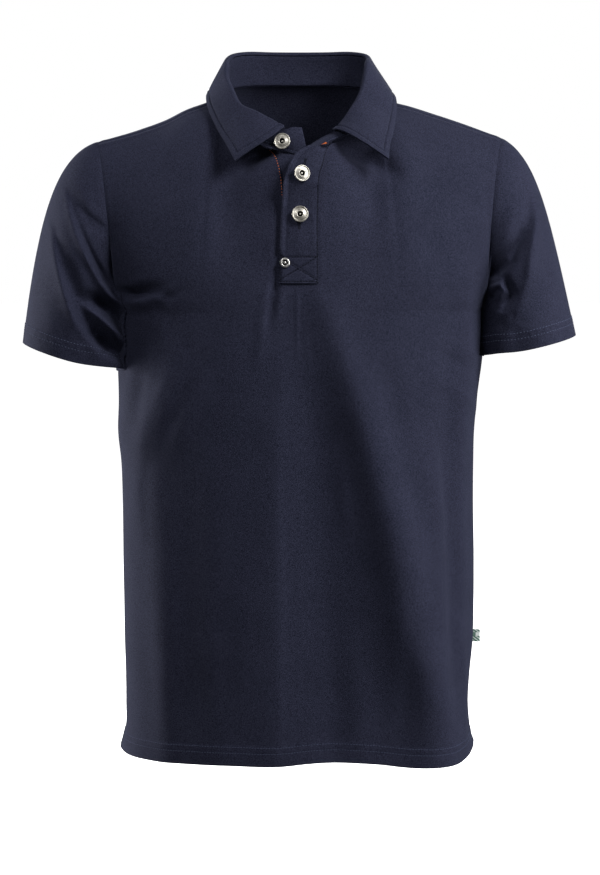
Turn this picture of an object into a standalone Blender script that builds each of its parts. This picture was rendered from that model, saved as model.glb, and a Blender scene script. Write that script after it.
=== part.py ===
"""A men's short-sleeved polo shirt in the shape it takes when worn.

Lengths are in millimetres until a point reaches a mesh. The origin is on the mid-plane, level with the
shoulder seams' inner ends. +Z is up, the chest faces -Y, and +X is the wearer's left.
"""

import math

import bmesh
import bpy
import numpy as np
from mathutils import Vector

MM = 0.001

# Cloth and gaps
BODY_CLOTH = 1.6  # pique of the panels and the sleeves
BAND_CLOTH = 2.0  # doubled strip of the two front bands
STAND_CLOTH = 2.4
LEAF_CLOTH = 2.2
SEAM_GAP = 0.3

# Levels
HEM_LEVEL = -716.0
UNDERARM_LEVEL = -232.0
SLIT_FOOT = 0.25  # where the neck slit starts, as a share of the way up from the underarm level

# Shares of the way from the centre line to a side seam
SLIT_SHARE = 0.064  # the slit's edge
NECK_POINT = 0.40  # where the neck edge meets the shoulder seam
VENT_FROM = 0.85  # where the hem's corner starts to swing out
SEAM_FLAT = 0.06  # the strip along a side seam that the folds leave flat

VENT_LENGTH = 40.0
VENT_FLARE = 4.0
VENT_OPENS = 2.0

# The body's level sections: level, reach to -X, reach to +X, depth in front, depth behind.
BODY_SECTIONS = (
    (-716, 195.0, 190.5, 118, 106),
    (-690, 192.0, 186.0, 118, 107),
    (-664, 191.6, 184.2, 118, 107.5),
    (-640, 191.6, 186.5, 118, 108),
    (-600, 192.5, 191.3, 119, 109),
    (-550, 193.0, 192.6, 119.5, 109.5),
    (-510, 193.4, 192.5, 120, 110),
    (-440, 193.6, 191.0, 121, 111),
    (-400, 194.8, 191.0, 121.5, 112),
    (-367, 198.0, 191.5, 122, 113),
    (-334, 197.0, 194.0, 123, 114),
    (-285, 198.0, 200.0, 123, 116),
    (-232, 199.0, 203.0, 121, 117),
)
SECTION_SQUARENESS = 2.4
SECTION_STEPS = 60
CHEST_ARC = 265.0  # along the front from its centre to a side seam
# How far the front's and the back's hem lies above or below its level: share of the way out, rise.
HEM_RISE = (
    (-1.00, -5, -3),
    (-0.80, -3, -2),
    (-0.60, -1, 1),
    (-0.30, 1, 0),
    (-0.08, 1, -2),
    (0.05, 4, 0),
    (0.20, 4.5, 2),
    (0.33, 2.5, 1),
    (0.45, -1, -1),
    (0.60, -2, 0),
    (0.85, -2.5, -2),
    (1.00, 2.5, 0),
)
HEM_RISE_FADES = 120.0

# The shoulder seams: share of the way out, then x, y, z on each side.
SHOULDER_SEAM = (
    (0.00, -82, -13, -5.5, 82, -13, -5.5),
    (0.14, -100, -13.5, -14, 100, -13.5, -13),
    (0.28, -120, -14, -21, 120, -14, -18),
    (0.46, -143, -14, -32.5, 146, -14, -26.3),
    (0.68, -173, -14, -43, 176, -14, -36),
    (1.00, -217, -14, -54.5, 218, -14, -50),
)
# How a panel rises from the underarm level to its top edge: share of the way out, then the handle
# at the foot (out, forward or back, up) and the handle at the top.
FRONT_RISE = (
    (0.00, 0, 0, 55, 0, 22, -40),
    (0.064, 4, 0, 55, -24, 18, -28),
    (0.18, 0, 0, 58, -8, 22, -34),
    (0.29, 0, 4, 62, 0, 34, -34),
    (0.40, 0, 9, 68, 8, 64, -30),
    (0.60, 0, 18, 62, 5, 66, -32),
    (0.80, 4, 36, 52, 4, 66, -36),
    (0.90, 4, 52, 34, -4, 66, -39),
    (1.00, -3, 72, 12, -14, 66, -42),
)
BACK_RISE = (
    (0.00, 0, 3, 70, 0, 30, -22),
    (0.18, 0, 3, 72, 4, 33, -18),
    (0.29, 0, 5, 74, 5, 42, -4),
    (0.40, 0, 8, 75, 6, 72, 24),
    (0.60, 0, 16, 70, 4, 74, 30),
    (0.80, 3, 36, 58, 3, 76, 30),
    (0.90, 4, 54, 40, 2, 78, 27),
    (1.00, 2, 78, 16, -6, 78, 26),
)

# The sleeves: how the hem ring lies, and what the outer side adds to the tube's handles, as out and up at
# the armhole and out at the hem.
SLEEVES = {
    "left": dict(side=-1, hem_in=(-201, -300), hem_out=(-301, -269), depth=64, middle=-4, crown=(5, 4, 0)),
    "right": dict(side=1, hem_in=(203, -284), hem_out=(301.5, -261), depth=64, middle=-4,
                  crown=(-4, -1, -12)),
}
# Handles by quarter of the ring (underarm, front, shoulder, back): out, forward, up at the armhole,
# and the same at the hem.
SLEEVE_HANDLES = (
    (0.00, 10, 0, -12, 3, 0, 30),
    (0.13, 12, 6, -18, -4, 4, 42),
    (0.25, 26, 12, -14, -12, 8, 60),
    (0.38, 38, 6, -12, -16, 6, 90),
    (0.50, 44, 0, -14, -15, 0, 119),
    (0.62, 38, -6, -12, -16, -6, 90),
    (0.75, 26, -12, -14, -12, -8, 60),
    (0.87, 12, -6, -18, -4, -4, 42),
    (1.00, 10, 0, -12, 3, 0, 30),
)
SLEEVE_SEAM_GAP = 1.8 * SEAM_GAP  # measured along the cloth, which meets the armhole at a slant
SIDE_CLEARANCE = 3.5  # between a sleeve's inner side and the body
SIDE_CLEARANCE_FROM = UNDERARM_LEVEL + 30.0
SIDE_CLEARANCE_RUN = 40.0

# The collar stand: neck edge x, y, z and top edge x, y, z, from its left end around the back.
STAND = (
    (10, -95, -71, 3, -88, -40),
    (-5, -93, -67.5, -6, -89.5, -39.5),
    (-15, -91.5, -64.5, -15.6, -89, -41.5),
    (-30.5, -88.5, -58.5, -29.8, -82, -34.4),
    (-50, -81, -51, -46, -73, -26),
    (-66, -67, -42, -61.5, -60, -18),
    (-77, -48, -29, -71, -42, 0),
    (-82, -30, -16, -76.5, -25, 12),
    (-82, -13, -5.5, -77.5, -8, 25),
    (-80, 8, 2, -77, 12, 33.5),
    (-73, 28, 6.5, -70.5, 31, 40),
    (-54, 48, 10, -54, 47, 43),
    (-30, 58, 11, -30, 56, 43),
    (0, 61, 11, 0, 59, 43),
    (30, 58, 11, 30, 56, 43),
    (54, 48, 10, 54, 47, 43),
    (73, 28, 6.5, 70.5, 31, 40),
    (80, 8, 2, 74.5, 12, 34.5),
    (82, -13, -5.5, 72.5, -8, 29),
    (82, -30, -15, 70.5, -26, 16.5),
    (77, -48, -28, 65, -43, -6),
    (64, -68, -41, 54.5, -59, -24.5),
    (46, -83, -50, 44.5, -69, -37.5),
    (34, -89.5, -54.5, 36, -73.5, -45),
    (27, -93, -58.5, 25, -75, -50.5),
    (13.4, -97, -65, 11, -78, -59),
)
SLIT_STATIONS = (3, 24)  # where the front's opening meets the neck edge
NECK_POINT_STATIONS = (8, 18)
LEAF_FROM, LEAF_TO = 2, 23  # the stand's stations that carry the leaf
STAND_BULGE = 1.2
STAND_UPRIGHT = 0.3  # a stand that slopes back more than this is an open, leaning end
LEANING_RAISE = (2.0, 1.6)  # how far a leaning end moves up and out, clear of the neck edge
ROLL_RADIUS = 3.4
ROLL_END_RADIUS = 2.9
ROLL_GAP = (SEAM_GAP + 0.6, 0.5)  # between stand and leaf, and what its front ends add
ROLL_SHARE = 0.16  # of the leaf's sampled way, spent on the roll
LEAF_FRONT_ENDS = 3.0  # stations at each end where the leaf opens
LEAF_FRONT_LIFT = (4.0, 10.0)  # how far the leaf's left and right front corners stand off the chest
LEAF_BULGE = 1.2
# The leaf's outer edge at the same stations.
LEAF_EDGE = (
    (-66.7, -98, -76),
    (-70.5, -95, -68.5),
    (-76, -86, -58),
    (-84, -72, -45),
    (-93, -49, -28),
    (-98.5, -28, -14),
    (-100.5, -6, -4.5),
    (-100, 16, -1),
    (-94, 42, 0),
    (-72, 64, 0),
    (-40, 78, -1),
    (0, 83, -2),
    (40, 78, -1),
    (72, 64, 0),
    (94, 42, 0),
    (104, 16, -3),
    (105, -8, -6.5),
    (105, -28, -16.5),
    (102.5, -50, -32),
    (98.5, -72, -48),
    (95, -86, -61),
    (93.5, -97, -75),
)

# The bands: left edge x, y, z and right edge x, y, z of the outer face, from the neck down.
OVER_BAND = (
    (10.5, -101, -60.5, 34, -91, -56),
    (1.5, -104.5, -65, 30.5, -96, -62),
    (-4.5, -107, -69.5, 28.2, -100.5, -69),
    (-9.5, -110, -78, 26.0, -105.5, -78),
    (-13.4, -113, -88, 22.9, -110, -88),
    (-16.9, -116, -99, 21.3, -113.5, -99),
)
OVER_OPEN_SHARE = 0.42  # of the band's sampled way, spent on the open part in the table
OVER_CUP = 5.0
OVER_FOOT = -201.0
OVER_LEFT, OVER_RIGHT = -21.0, 20.5
UNDER_TOP = (-34, -60.6, 10, -72.4)  # left x and level, right x and level
UNDER_FOOT = -199.0
UNDER_LEFT, UNDER_RIGHT = -23.0, 19.0
UNDER_TAPER = 0.3  # share of the way down in which the band narrows to its full run
UNDER_DROP = BODY_CLOTH + SEAM_GAP + 0.5

# The turned metal trims: radius, height above the foot.
BUTTON_PROFILE = ((0.0, 2.3), (1.8, 2.3), (2.5, 3.6), (3.8, 3.4), (6.1, 3.3), (7.1, 4.0),
                  (8.2, 3.9), (8.6, 3.1), (6.8, 2.2), (3.2, 2.0), (3.2, 0.0), (0.0, 0.0))
STUD_PROFILE = ((0.0, 0.9), (1.3, 0.9), (1.8, 1.8), (3.2, 2.2), (4.6, 1.7), (5.25, 0.7), (5.1, 0.0),
                (0.0, 0.0))
TURN_STEPS = 16
FIRST_BUTTON_STATION = 2.0
FIRST_BUTTON_SHIFT = (-1.5, 0.0, -2.0)
FIRST_BUTTON_FACING = (-0.12, -0.97, 0.22)
BUTTON_LIFT = 1.4  # the shank's height above the cloth of the stand
# The other buttons on the buttonhole band: share down, share across, lean to the right.
BAND_BUTTONS = {"button_2": (0.336, 0.43, 0.35), "button_3": (0.598, 0.5, 0.0)}
BUTTON_TIP_UP = 0.22
LEAN_LIFT = 3.4
STUD_SEAT = (0.14, 0.88)  # share across, share down
STUD_LIFT = 0.9

TAB_LEVEL = (-588.5, -602.5)
TAB_REACH = 9.0
TAB_CLOTH = 0.8
TAB_DROOP = 3.0  # degrees

SHOULDER_TIP = 0.45  # how much a fold at the shoulder also lifts upwards
FOLD_END = 0.35  # a fold's height at its ends, as a share of its height in the middle

# The large folds in front view: (x, z) points, height (a trough is below zero), half width.
FRONT_FOLDS = (
    (((-186, -214), (-143, -208)), -4.0, 7),
    (((-139, -208), (-139, -226)), -2.5, 6),
    (((-126, -280), (-147, -330), (-169, -376)), 4.5, 12),
    (((-101, -300), (-136, -381)), 2.5, 11),
    (((-166, -290), (-176, -345)), -3.0, 9),
    (((-138, -447), (-137, -701)), 2.5, 12),
    (((-59, -490), (-59, -650)), 1.5, 22),
    (((28, -225), (58, -320), (88, -455), (106, -560), (130, -645), (139, -700)), 4.0, 15),
    (((98, -290), (100, -400), (104, -560), (112, -700)), 8.0, 42),
    (((4, -262), (36, -400), (66, -560), (84, -690)), -2.5, 24),
    (((88, -290), (103, -360), (117, -430), (130, -500), (134, -590)), -3.5, 12),
    (((130, -370), (143, -450), (150, -560)), 2.5, 10),
    (((157, -290), (156, -400), (161, -520), (158, -640)), -3.0, 10),
    (((172, -330), (174, -480), (172, -695)), 3.0, 8),
)
BACK_FOLDS = (
    (((-150, -190), (-90, -330), (-70, -520)), 4.0, 18),
    (((150, -200), (100, -340), (84, -560)), 4.5, 18),
    (((-20, -260), (-8, -470), (-30, -690)), -5.0, 26),
    (((-128, -420), (-140, -690)), 4.0, 15),
    (((120, -470), (142, -700)), 4.0, 15),
)
SLEEVE_FOLDS = {
    "left": (
        (((-248, -116), (-235, -157), (-221, -185), (-209, -214), (-192, -231)), 3.0, 6),
        (((-239, -118), (-222, -160), (-202, -196)), -4.0, 8),
        (((-264, -142), (-258, -175), (-249, -214), (-239, -243), (-217, -274)), 3.0, 8),
        (((-233, -225), (-210, -247), (-190, -267)), 2.5, 6),
    ),
    "right": (
        (((251, -97), (254, -115), (250, -147), (245, -193), (232, -232)), 3.5, 9),
        (((249, -117), (232, -160), (208, -193)), -4.5, 11),
        (((206, -216), (218, -205), (228, -214)), 2.5, 5),
    ),
}

NAVY = (0.0125, 0.0152, 0.0290)
NAVY_INSIDE = (0.0105, 0.0128, 0.0245)
NICKEL = (0.56, 0.55, 0.52)
TAB_GREEN = (0.05, 0.33, 0.17)


def clear_scene():
    for thing in list(bpy.data.objects):
        bpy.data.objects.remove(thing, do_unlink=True)


def material(name, colour, roughness, metallic=0.0):
    made = bpy.data.materials.new(name)
    made.use_nodes = True
    shader = made.node_tree.nodes["Principled BSDF"]
    shader.inputs["Base Color"].default_value = (*colour, 1.0)
    shader.inputs["Roughness"].default_value = roughness
    shader.inputs["Metallic"].default_value = metallic
    made.diffuse_color = (*colour, 1.0)
    return made


def table_at(table, key):
    """The other columns of a table at a value of its first column, joined by smooth curves."""
    rows = np.asarray(table, float)
    knots = rows[:, 0]
    values = rows[:, 1:]
    slopes = np.gradient(values, knots, axis=0)
    place = min(max(key, knots[0]), knots[-1])
    i = min(max(int(np.searchsorted(knots, place)) - 1, 0), len(knots) - 2)
    step = knots[i + 1] - knots[i]
    t = (place - knots[i]) / step
    start = (1 + 2 * t) * (1 - t) ** 2 * values[i] + t * (1 - t) ** 2 * step * slopes[i]
    end = t * t * (3 - 2 * t) * values[i + 1] - t * t * (1 - t) * step * slopes[i + 1]
    return start + end


def station(table, place):
    """A row between the rows of a table that has no key column."""
    keyed = [(number, *row) for number, row in enumerate(table)]
    return table_at(keyed, place)


def bezier(start, first, second, end, t):
    s = 1 - t
    return s ** 3 * start + 3 * s * s * t * first + 3 * s * t * t * second + t ** 3 * end


def fold_height(folds, x, z):
    """How far the folds lift the cloth at a place in front view."""
    total = 0.0
    for points, height, width in folds:
        best = None
        for number in range(len(points) - 1):
            a = np.array(points[number], float)
            b = np.array(points[number + 1], float)
            along = b - a
            share = float(np.dot((x, z) - a, along) / np.dot(along, along))
            held = min(max(share, 0.0), 1.0)
            distance = float(np.linalg.norm((x, z) - a - held * along))
            if best is None or distance < best[0]:
                best = (distance, (number + held) / (len(points) - 1))
        taper = FOLD_END + (1 - FOLD_END) * math.sin(math.pi * best[1])
        total += height * taper * math.exp(-((best[0] / width) ** 2))
    return total


def section_point(level, share, back):
    """A point of the body's outer face at a level, and the level direction that faces out."""
    reach_left, reach_right, front, behind = table_at(BODY_SECTIONS, level)
    reach = reach_left if share < 0 else reach_right
    depth = behind if back else front
    power = 2.0 / SECTION_SQUARENESS
    angles = np.radians(np.linspace(0.0, 90.0, SECTION_STEPS + 1))
    xs = reach * np.sin(angles) ** power
    ys = depth * np.cos(angles) ** power
    lengths = np.concatenate(([0.0], np.cumsum(np.hypot(np.diff(xs), np.diff(ys)))))
    target = abs(share) * lengths[-1]
    x = float(np.interp(target, lengths, xs))
    y = float(np.interp(target, lengths, ys))
    grow = SECTION_SQUARENESS - 1
    out = np.array(((x / reach) ** grow / reach, (y / depth) ** grow / depth))
    out /= np.linalg.norm(out)
    side = -1.0 if share < 0 else 1.0
    facing = 1.0 if back else -1.0
    return np.array((side * x, facing * y, level)), np.array((side * out[0], facing * out[1], 0.0))


def top_edge(share, back):
    """A panel's top edge: its neck edge, which is the stand's, then its shoulder seam."""
    out = abs(share)
    end = 0 if share < 0 else 1
    if out >= NECK_POINT:
        row = table_at(SHOULDER_SEAM, (out - NECK_POINT) / (1 - NECK_POINT))
        return row[3:] if end else row[:3]
    if back:
        start, reach = sum(NECK_POINT_STATIONS) / 2, out / NECK_POINT
    else:
        start, reach = SLIT_STATIONS[end], max(out - SLIT_SHARE, 0.0) / (NECK_POINT - SLIT_SHARE)
    return station(STAND, start + (NECK_POINT_STATIONS[end] - start) * reach)[:3]


def panel_point(share, rise, back=False, folds=()):
    """The front's or back's outer face. rise runs 0 to 1 up to the underarm and 1 to 2 above it."""
    facing = 1.0 if back else -1.0
    side = -1.0 if share < 0 else 1.0
    if rise <= 1:
        level = HEM_LEVEL + (UNDERARM_LEVEL - HEM_LEVEL) * rise
        point, out = section_point(level, share, back)
        above = level - HEM_LEVEL
        corner = max(0.0, 1 - above / VENT_LENGTH) * max(0.0, abs(share) - VENT_FROM) / (1 - VENT_FROM)
        flare = np.array((side * VENT_FLARE, facing * VENT_OPENS, 0.0)) * corner ** 2
        hem_rise = table_at(HEM_RISE, share)[1 if back else 0] * max(0.0, 1 - above / HEM_RISE_FADES)
        point = point + flare + np.array((0, 0, hem_rise))
    else:
        foot, out = section_point(UNDERARM_LEVEL, share, back)
        top = top_edge(share, back)
        if not back and abs(share) < SLIT_SHARE:
            left = top_edge(-SLIT_SHARE, False)
            right = top_edge(SLIT_SHARE, False)
            top = left + (right - left) * (share / SLIT_SHARE + 1) / 2
        handle = table_at(BACK_RISE if back else FRONT_RISE, abs(share))
        turn = np.array((side, facing, 1.0))
        point = bezier(foot, foot + handle[:3] * turn, top + handle[3:] * turn, top, rise - 1)
        out = out * (2 - rise) + np.array((0.0, facing, SHOULDER_TIP)) * (rise - 1)
        out /= np.linalg.norm(out)
    calm = min(1.0, (1 - abs(share)) / SEAM_FLAT)
    return point + out * fold_height(folds, point[0], point[2]) * calm


def armhole_point(turn, side):
    """The armhole seam: 0 at the underarm, 0.5 at the shoulder, up the front and down the back."""
    back = turn > 0.5
    rise = 1 + (2 * turn if not back else 2 - 2 * turn)
    return panel_point(side * 1.0, rise, back)


def sleeve_point(name, turn, down):
    """A sleeve's outer face: turn goes around from the underarm, down from the armhole to the hem."""
    form = SLEEVES[name]
    side = form["side"]
    seam = armhole_point(turn, side)
    angle = 2 * math.pi * turn
    inner = np.array(form["hem_in"], float)
    outer = np.array(form["hem_out"], float)
    across = inner + (outer - inner) * (1 - math.cos(angle)) / 2
    end = np.array((across[0], form["middle"] - form["depth"] * math.sin(angle), across[1]))
    crown_out, crown_up, crown_hem = np.array(form["crown"]) * ((1 - math.cos(angle)) / 2) ** 2
    handle = table_at(SLEEVE_HANDLES, turn) + (crown_out, 0, crown_up, crown_hem, 0, 0)
    way = np.array((side, -1.0, 1.0))
    lead = handle[:3] * way
    start = seam + lead / np.linalg.norm(lead) * SLEEVE_SEAM_GAP
    point = bezier(start, start + lead, end + handle[3:] * way, end, down)
    folded = fold_height(SLEEVE_FOLDS[name], point[0], point[2]) * math.sin(math.pi * down) ** 0.5
    if 0.05 < turn < 0.5:
        facing = np.array((0.25 * side * -math.cos(angle), -1.0, 0.2))
        point = point + facing / np.linalg.norm(facing) * folded * math.sin(math.pi * turn / 0.5)
    if point[2] < SIDE_CLEARANCE_FROM and down > 0:
        reach_left, reach_right, front, behind = table_at(BODY_SECTIONS, min(point[2], UNDERARM_LEVEL))
        reach = reach_left if side < 0 else reach_right
        squareness = SECTION_SQUARENESS
        body = reach * (1 - (abs(point[1]) / front) ** squareness) ** (1 / squareness)
        away = min(1.0, (SIDE_CLEARANCE_FROM - point[2]) / SIDE_CLEARANCE_RUN, 5 * down)
        least = body + SEAM_GAP + (SIDE_CLEARANCE - SEAM_GAP) * away
        point[0] = side * max(abs(point[0]), least)
    return point


def stand_frame(place):
    """At a place along the stand: its neck edge, top edge, the way up and the way out."""
    row = station(STAND, place)
    neck, top = row[:3], row[3:]
    ahead = station(STAND, min(place + 0.3, len(STAND) - 1))
    behind = station(STAND, max(place - 0.3, 0))
    along = (ahead[:3] + ahead[3:] - behind[:3] - behind[3:]) / 2
    up = (top - neck) / np.linalg.norm(top - neck)
    out = np.cross(up, along)
    out /= np.linalg.norm(out)
    return neck, top, up, out


def stand_point(place, rise):
    neck, top, up, out = stand_frame(place)
    leaning = max(0.0, float(up[1]) - STAND_UPRIGHT)
    foot = neck + up * (SEAM_GAP + LEANING_RAISE[0] * leaning)
    bulge = STAND_BULGE * math.sin(math.pi * rise) * (1 - leaning)
    return foot + (top - foot) * rise + out * (bulge + LEANING_RAISE[1] * leaning)


def leaf_point(place, fall):
    """The leaf's outer face, from inside the stand's top over the roll and down to the leaf's edge."""
    neck, top, up, out = stand_frame(place)
    edge = station(LEAF_EDGE, place - LEAF_FROM)
    front_end = max(0.0, 1 - min(place - LEAF_FROM, LEAF_TO - place) / LEAF_FRONT_ENDS)
    radius = ROLL_RADIUS + (ROLL_END_RADIUS - ROLL_RADIUS) * front_end
    centre = top + out * (radius - LEAF_CLOTH) + up * (ROLL_GAP[0] + ROLL_GAP[1] * front_end)
    drop = edge - centre
    away = float(np.dot(drop, out))
    down = -float(np.dot(drop, up))
    last = math.atan2(max(away, 2.0), max(down, 2.0)) * 0.8
    if fall <= ROLL_SHARE:
        angle = math.pi + (last - math.pi) * fall / ROLL_SHARE
        return centre + radius * (math.cos(angle) * out + math.sin(angle) * up)
    start = centre + radius * (math.cos(last) * out + math.sin(last) * up)
    heading = math.sin(last) * out - math.cos(last) * up
    reach = float(np.linalg.norm(edge - start))
    straight = (edge - start) / reach
    lift = LEAF_FRONT_LIFT[0 if place < sum(NECK_POINT_STATIONS) / 2 else 1]
    turned_away = 0.7 * front_end
    first = start + (heading * (1 - turned_away) + straight * turned_away) * reach * 0.3
    first = first + out * 1.4 * lift * front_end
    forward = np.array((0.0, -1.0, 0.2))
    second = edge - straight * reach * 0.33 + out * LEAF_BULGE + forward * lift * front_end
    return bezier(start, first, second, edge, (fall - ROLL_SHARE) / (1 - ROLL_SHARE))


def front_depth(x, level):
    """How far forward the front's outer face is at a place near the centre line."""
    share = x / CHEST_ARC
    for _ in range(4):
        low, high = 1.0, 2.0
        for _ in range(12):
            middle = (low + high) / 2
            if panel_point(share, middle, False, FRONT_FOLDS)[2] < level:
                low = middle
            else:
                high = middle
        point = panel_point(share, low, False, FRONT_FOLDS)
        share += (x - point[0]) / CHEST_ARC
    return point[1]


def over_band_point(across, down):
    """The buttonhole band's outer face: across runs left to right, down from the neck to the foot."""
    lift = SEAM_GAP + BAND_CLOTH
    if down <= OVER_OPEN_SHARE:
        row = station(OVER_BAND, down / OVER_OPEN_SHARE * (len(OVER_BAND) - 1))
        point = row[:3] + (row[3:] - row[:3]) * across
        point[1] -= OVER_CUP * math.sin(math.pi * across) * (1 - down / OVER_OPEN_SHARE)
        if across > 0.5:
            point[1] = min(point[1], front_depth(point[0], point[2]) - lift)
        return point
    share = (down - OVER_OPEN_SHARE) / (1 - OVER_OPEN_SHARE)
    first = OVER_BAND[-1]
    level = first[2] + (OVER_FOOT - first[2]) * share
    ease = min(1.0, share * 3)
    left = first[0] + (OVER_LEFT - first[0]) * share
    right = first[3] + (OVER_RIGHT - first[3]) * ease
    x = left + (right - left) * across
    flat = front_depth(x, level) - lift
    start = first[1] + (first[4] - first[1]) * across
    return np.array((x, start * (1 - ease) + flat * ease, level))


def under_band_point(across, down):
    """The button band's outer face, which lies behind the front's and the other band's inner faces."""
    top_left_x, top_left_z, top_right_x, top_right_z = UNDER_TOP
    taper = min(1.0, down / UNDER_TAPER)
    left_x = top_left_x + (UNDER_LEFT - top_left_x) * taper ** 0.8
    right_x = top_right_x + (UNDER_RIGHT - top_right_x) * taper
    left_z = top_left_z + (UNDER_FOOT - top_left_z) * down
    right_z = top_right_z + (UNDER_FOOT - top_right_z) * down
    x = left_x + (right_x - left_x) * across
    level = left_z + (right_z - left_z) * across
    return np.array((x, front_depth(x, level) + UNDER_DROP, level))


def finish(thing, name, collection, look):
    thing.name = name
    thing.data.name = name
    for owner in list(thing.users_collection):
        owner.objects.unlink(thing)
    collection.objects.link(thing)
    thing.data.materials.clear()
    thing.data.materials.append(look)
    return thing


def cloth(name, collection, look, place, across, along, thickness, tube=False, leave_out=None):
    """A grid of cloth set out by place(a, b) and thickened inwards."""
    mesh = bpy.data.meshes.new(name)
    grid = bmesh.new()
    wide = len(across)
    bmesh.ops.create_grid(grid, x_segments=wide - 1, y_segments=len(along) - 1, size=1.0)
    grid.verts.ensure_lookup_table()
    for row, b in enumerate(along):
        for column, a in enumerate(across):
            grid.verts[row * wide + column].co = Vector(place(a, b)) * MM
    if leave_out:
        gone = []
        for face in grid.faces:
            rows = [vert.index // wide for vert in face.verts]
            columns = [vert.index % wide for vert in face.verts]
            if leave_out(min(columns), max(columns), min(rows), max(rows)):
                gone.append(face)
        bmesh.ops.delete(grid, geom=gone, context="FACES")
    if tube:
        bmesh.ops.remove_doubles(grid, verts=grid.verts, dist=1e-6)
    grid.to_mesh(mesh)
    grid.free()
    mesh.shade_smooth()
    thing = bpy.data.objects.new(name, mesh)
    collection.objects.link(thing)
    wall = thing.modifiers.new("Wall", "SOLIDIFY")
    wall.thickness = thickness * MM
    wall.offset = -1.0
    wall.use_rim = True
    return finish(thing, name, collection, look)


def spread(*pieces):
    """Values from (start, end, steps) pieces, each continuing the last."""
    values = [pieces[0][0]]
    for start, end, steps in pieces:
        values += [start + (end - start) * (number + 1) / steps for number in range(steps)]
    return values


def panel_columns(back):
    """Shares across a panel, with two columns to each station of the neck edge."""
    halves = []
    for end in (0, 1):
        start = sum(NECK_POINT_STATIONS) / 2 if back else SLIT_STATIONS[end]
        steps = int(2 * abs(NECK_POINT_STATIONS[end] - start))
        inner = 0.0 if back else SLIT_SHARE
        outer = ((NECK_POINT, 0.8, 4), (0.8, 0.985, 3), (0.985, 1.0, 1))
        halves.append(spread((inner, NECK_POINT, steps), *outer))
    left = [-value for value in reversed(halves[0])]
    return left[:-1] + halves[1] if back else left + [0.0] + halves[1]


def armhole_rises():
    """Shares of the way up an armhole, which the panels and the sleeves have in common."""
    return spread((0.0, SLIT_FOOT, 3), (SLIT_FOOT, 0.98, 7), (0.98, 1.0, 1))


def panel_rows():
    below = spread((0.0, 0.08, 2), (0.08, 1.0, 11))
    return below + [1 + rise for rise in armhole_rises()[1:]]


def make_front(collection, look):
    columns, rows = panel_columns(back=False), panel_rows()
    middle = columns.index(0.0)
    foot = next(number for number, row in enumerate(rows) if row > 1 + SLIT_FOOT - 1e-6)

    def place(share, rise):
        point = panel_point(share, rise, False, FRONT_FOLDS)
        return seam_set_back(point, share, rise, -1.0)

    def in_slit(left, right, low, high):
        return low >= foot and left >= middle - 1 and right <= middle + 1

    return cloth("front_panel", collection, look, place, columns, rows, BODY_CLOTH, leave_out=in_slit)


def make_back(collection, look):
    columns = list(reversed(panel_columns(back=True)))

    def place(share, rise):
        point = panel_point(share, rise, True, BACK_FOLDS)
        return seam_set_back(point, share, rise, 1.0)

    return cloth("back_panel", collection, look, place, columns, panel_rows(), BODY_CLOTH)


def seam_set_back(point, share, rise, facing):
    """Opens half the seam gap at a panel's side and shoulder edges, and more at the sleeve's corner."""
    if abs(share) > 0.999 and rise <= 1:
        point[1] += facing * SEAM_GAP * 0.6
    elif rise > 1.999 and abs(share) >= NECK_POINT - 1e-6:
        corner = max(0.0, abs(share) - VENT_FROM) / (1 - VENT_FROM)
        point[1] += facing * SEAM_GAP * (0.8 + 1.2 * corner)
    return point


def make_sleeve(name, collection, look):
    side = SLEEVES[name]["side"]
    rises = armhole_rises()
    turns = [rise / 2 for rise in rises] + [1 - rise / 2 for rise in reversed(rises[:-1])]
    if side > 0:
        turns.reverse()
    downs = spread((0.0, 0.03, 1), (0.03, 0.85, 10), (0.85, 1.0, 3))

    def place(turn, down):
        return sleeve_point(name, turn, down)

    return cloth(f"sleeve_{name}", collection, look, place, turns, downs, BODY_CLOTH, tube=True)


def make_collar(collection, look):
    places = spread((0, len(STAND) - 1, 2 * (len(STAND) - 1)))
    stand = cloth("collar_stand", collection, look, stand_point, places, spread((1, 0, 3)), STAND_CLOTH)
    places = spread((LEAF_FROM, LEAF_TO, 2 * (LEAF_TO - LEAF_FROM)))
    falls = spread((0, 0.008, 1), (0.008, ROLL_SHARE, 4), (ROLL_SHARE, 1, 5))
    leaf = cloth("collar_leaf", collection, look, leaf_point, places, falls, LEAF_CLOTH)
    return stand, leaf


def make_bands(collection, look):
    shares = spread((1, 0, 7))
    downs = spread((0, OVER_OPEN_SHARE, 10), (OVER_OPEN_SHARE, 1, 14))
    over = cloth("placket_over", collection, look, over_band_point, shares, downs, BAND_CLOTH)
    under = cloth("placket_under", collection, look, under_band_point, shares, spread((0, 1, 20)), BAND_CLOTH)
    return over, under


def turned(name, collection, look, profile, centre, facing):
    """A turned trim with its flat foot at a point, its face along a direction."""
    mesh = bpy.data.meshes.new(name)
    points = [(radius * MM, 0.0, height * MM) for radius, height in profile]
    edges = [(number, number + 1) for number in range(len(points) - 1)]
    mesh.from_pydata(points, edges, [])
    thing = bpy.data.objects.new(name, mesh)
    collection.objects.link(thing)
    spin = thing.modifiers.new("Turn", "SCREW")
    spin.steps = TURN_STEPS
    spin.render_steps = TURN_STEPS
    spin.use_merge_vertices = True
    spin.merge_threshold = 0.00001
    thing.location = Vector(centre) * MM
    thing.rotation_mode = "QUATERNION"
    thing.rotation_quaternion = Vector(facing).to_track_quat("Z", "Y")
    return finish(thing, name, collection, look)


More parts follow.
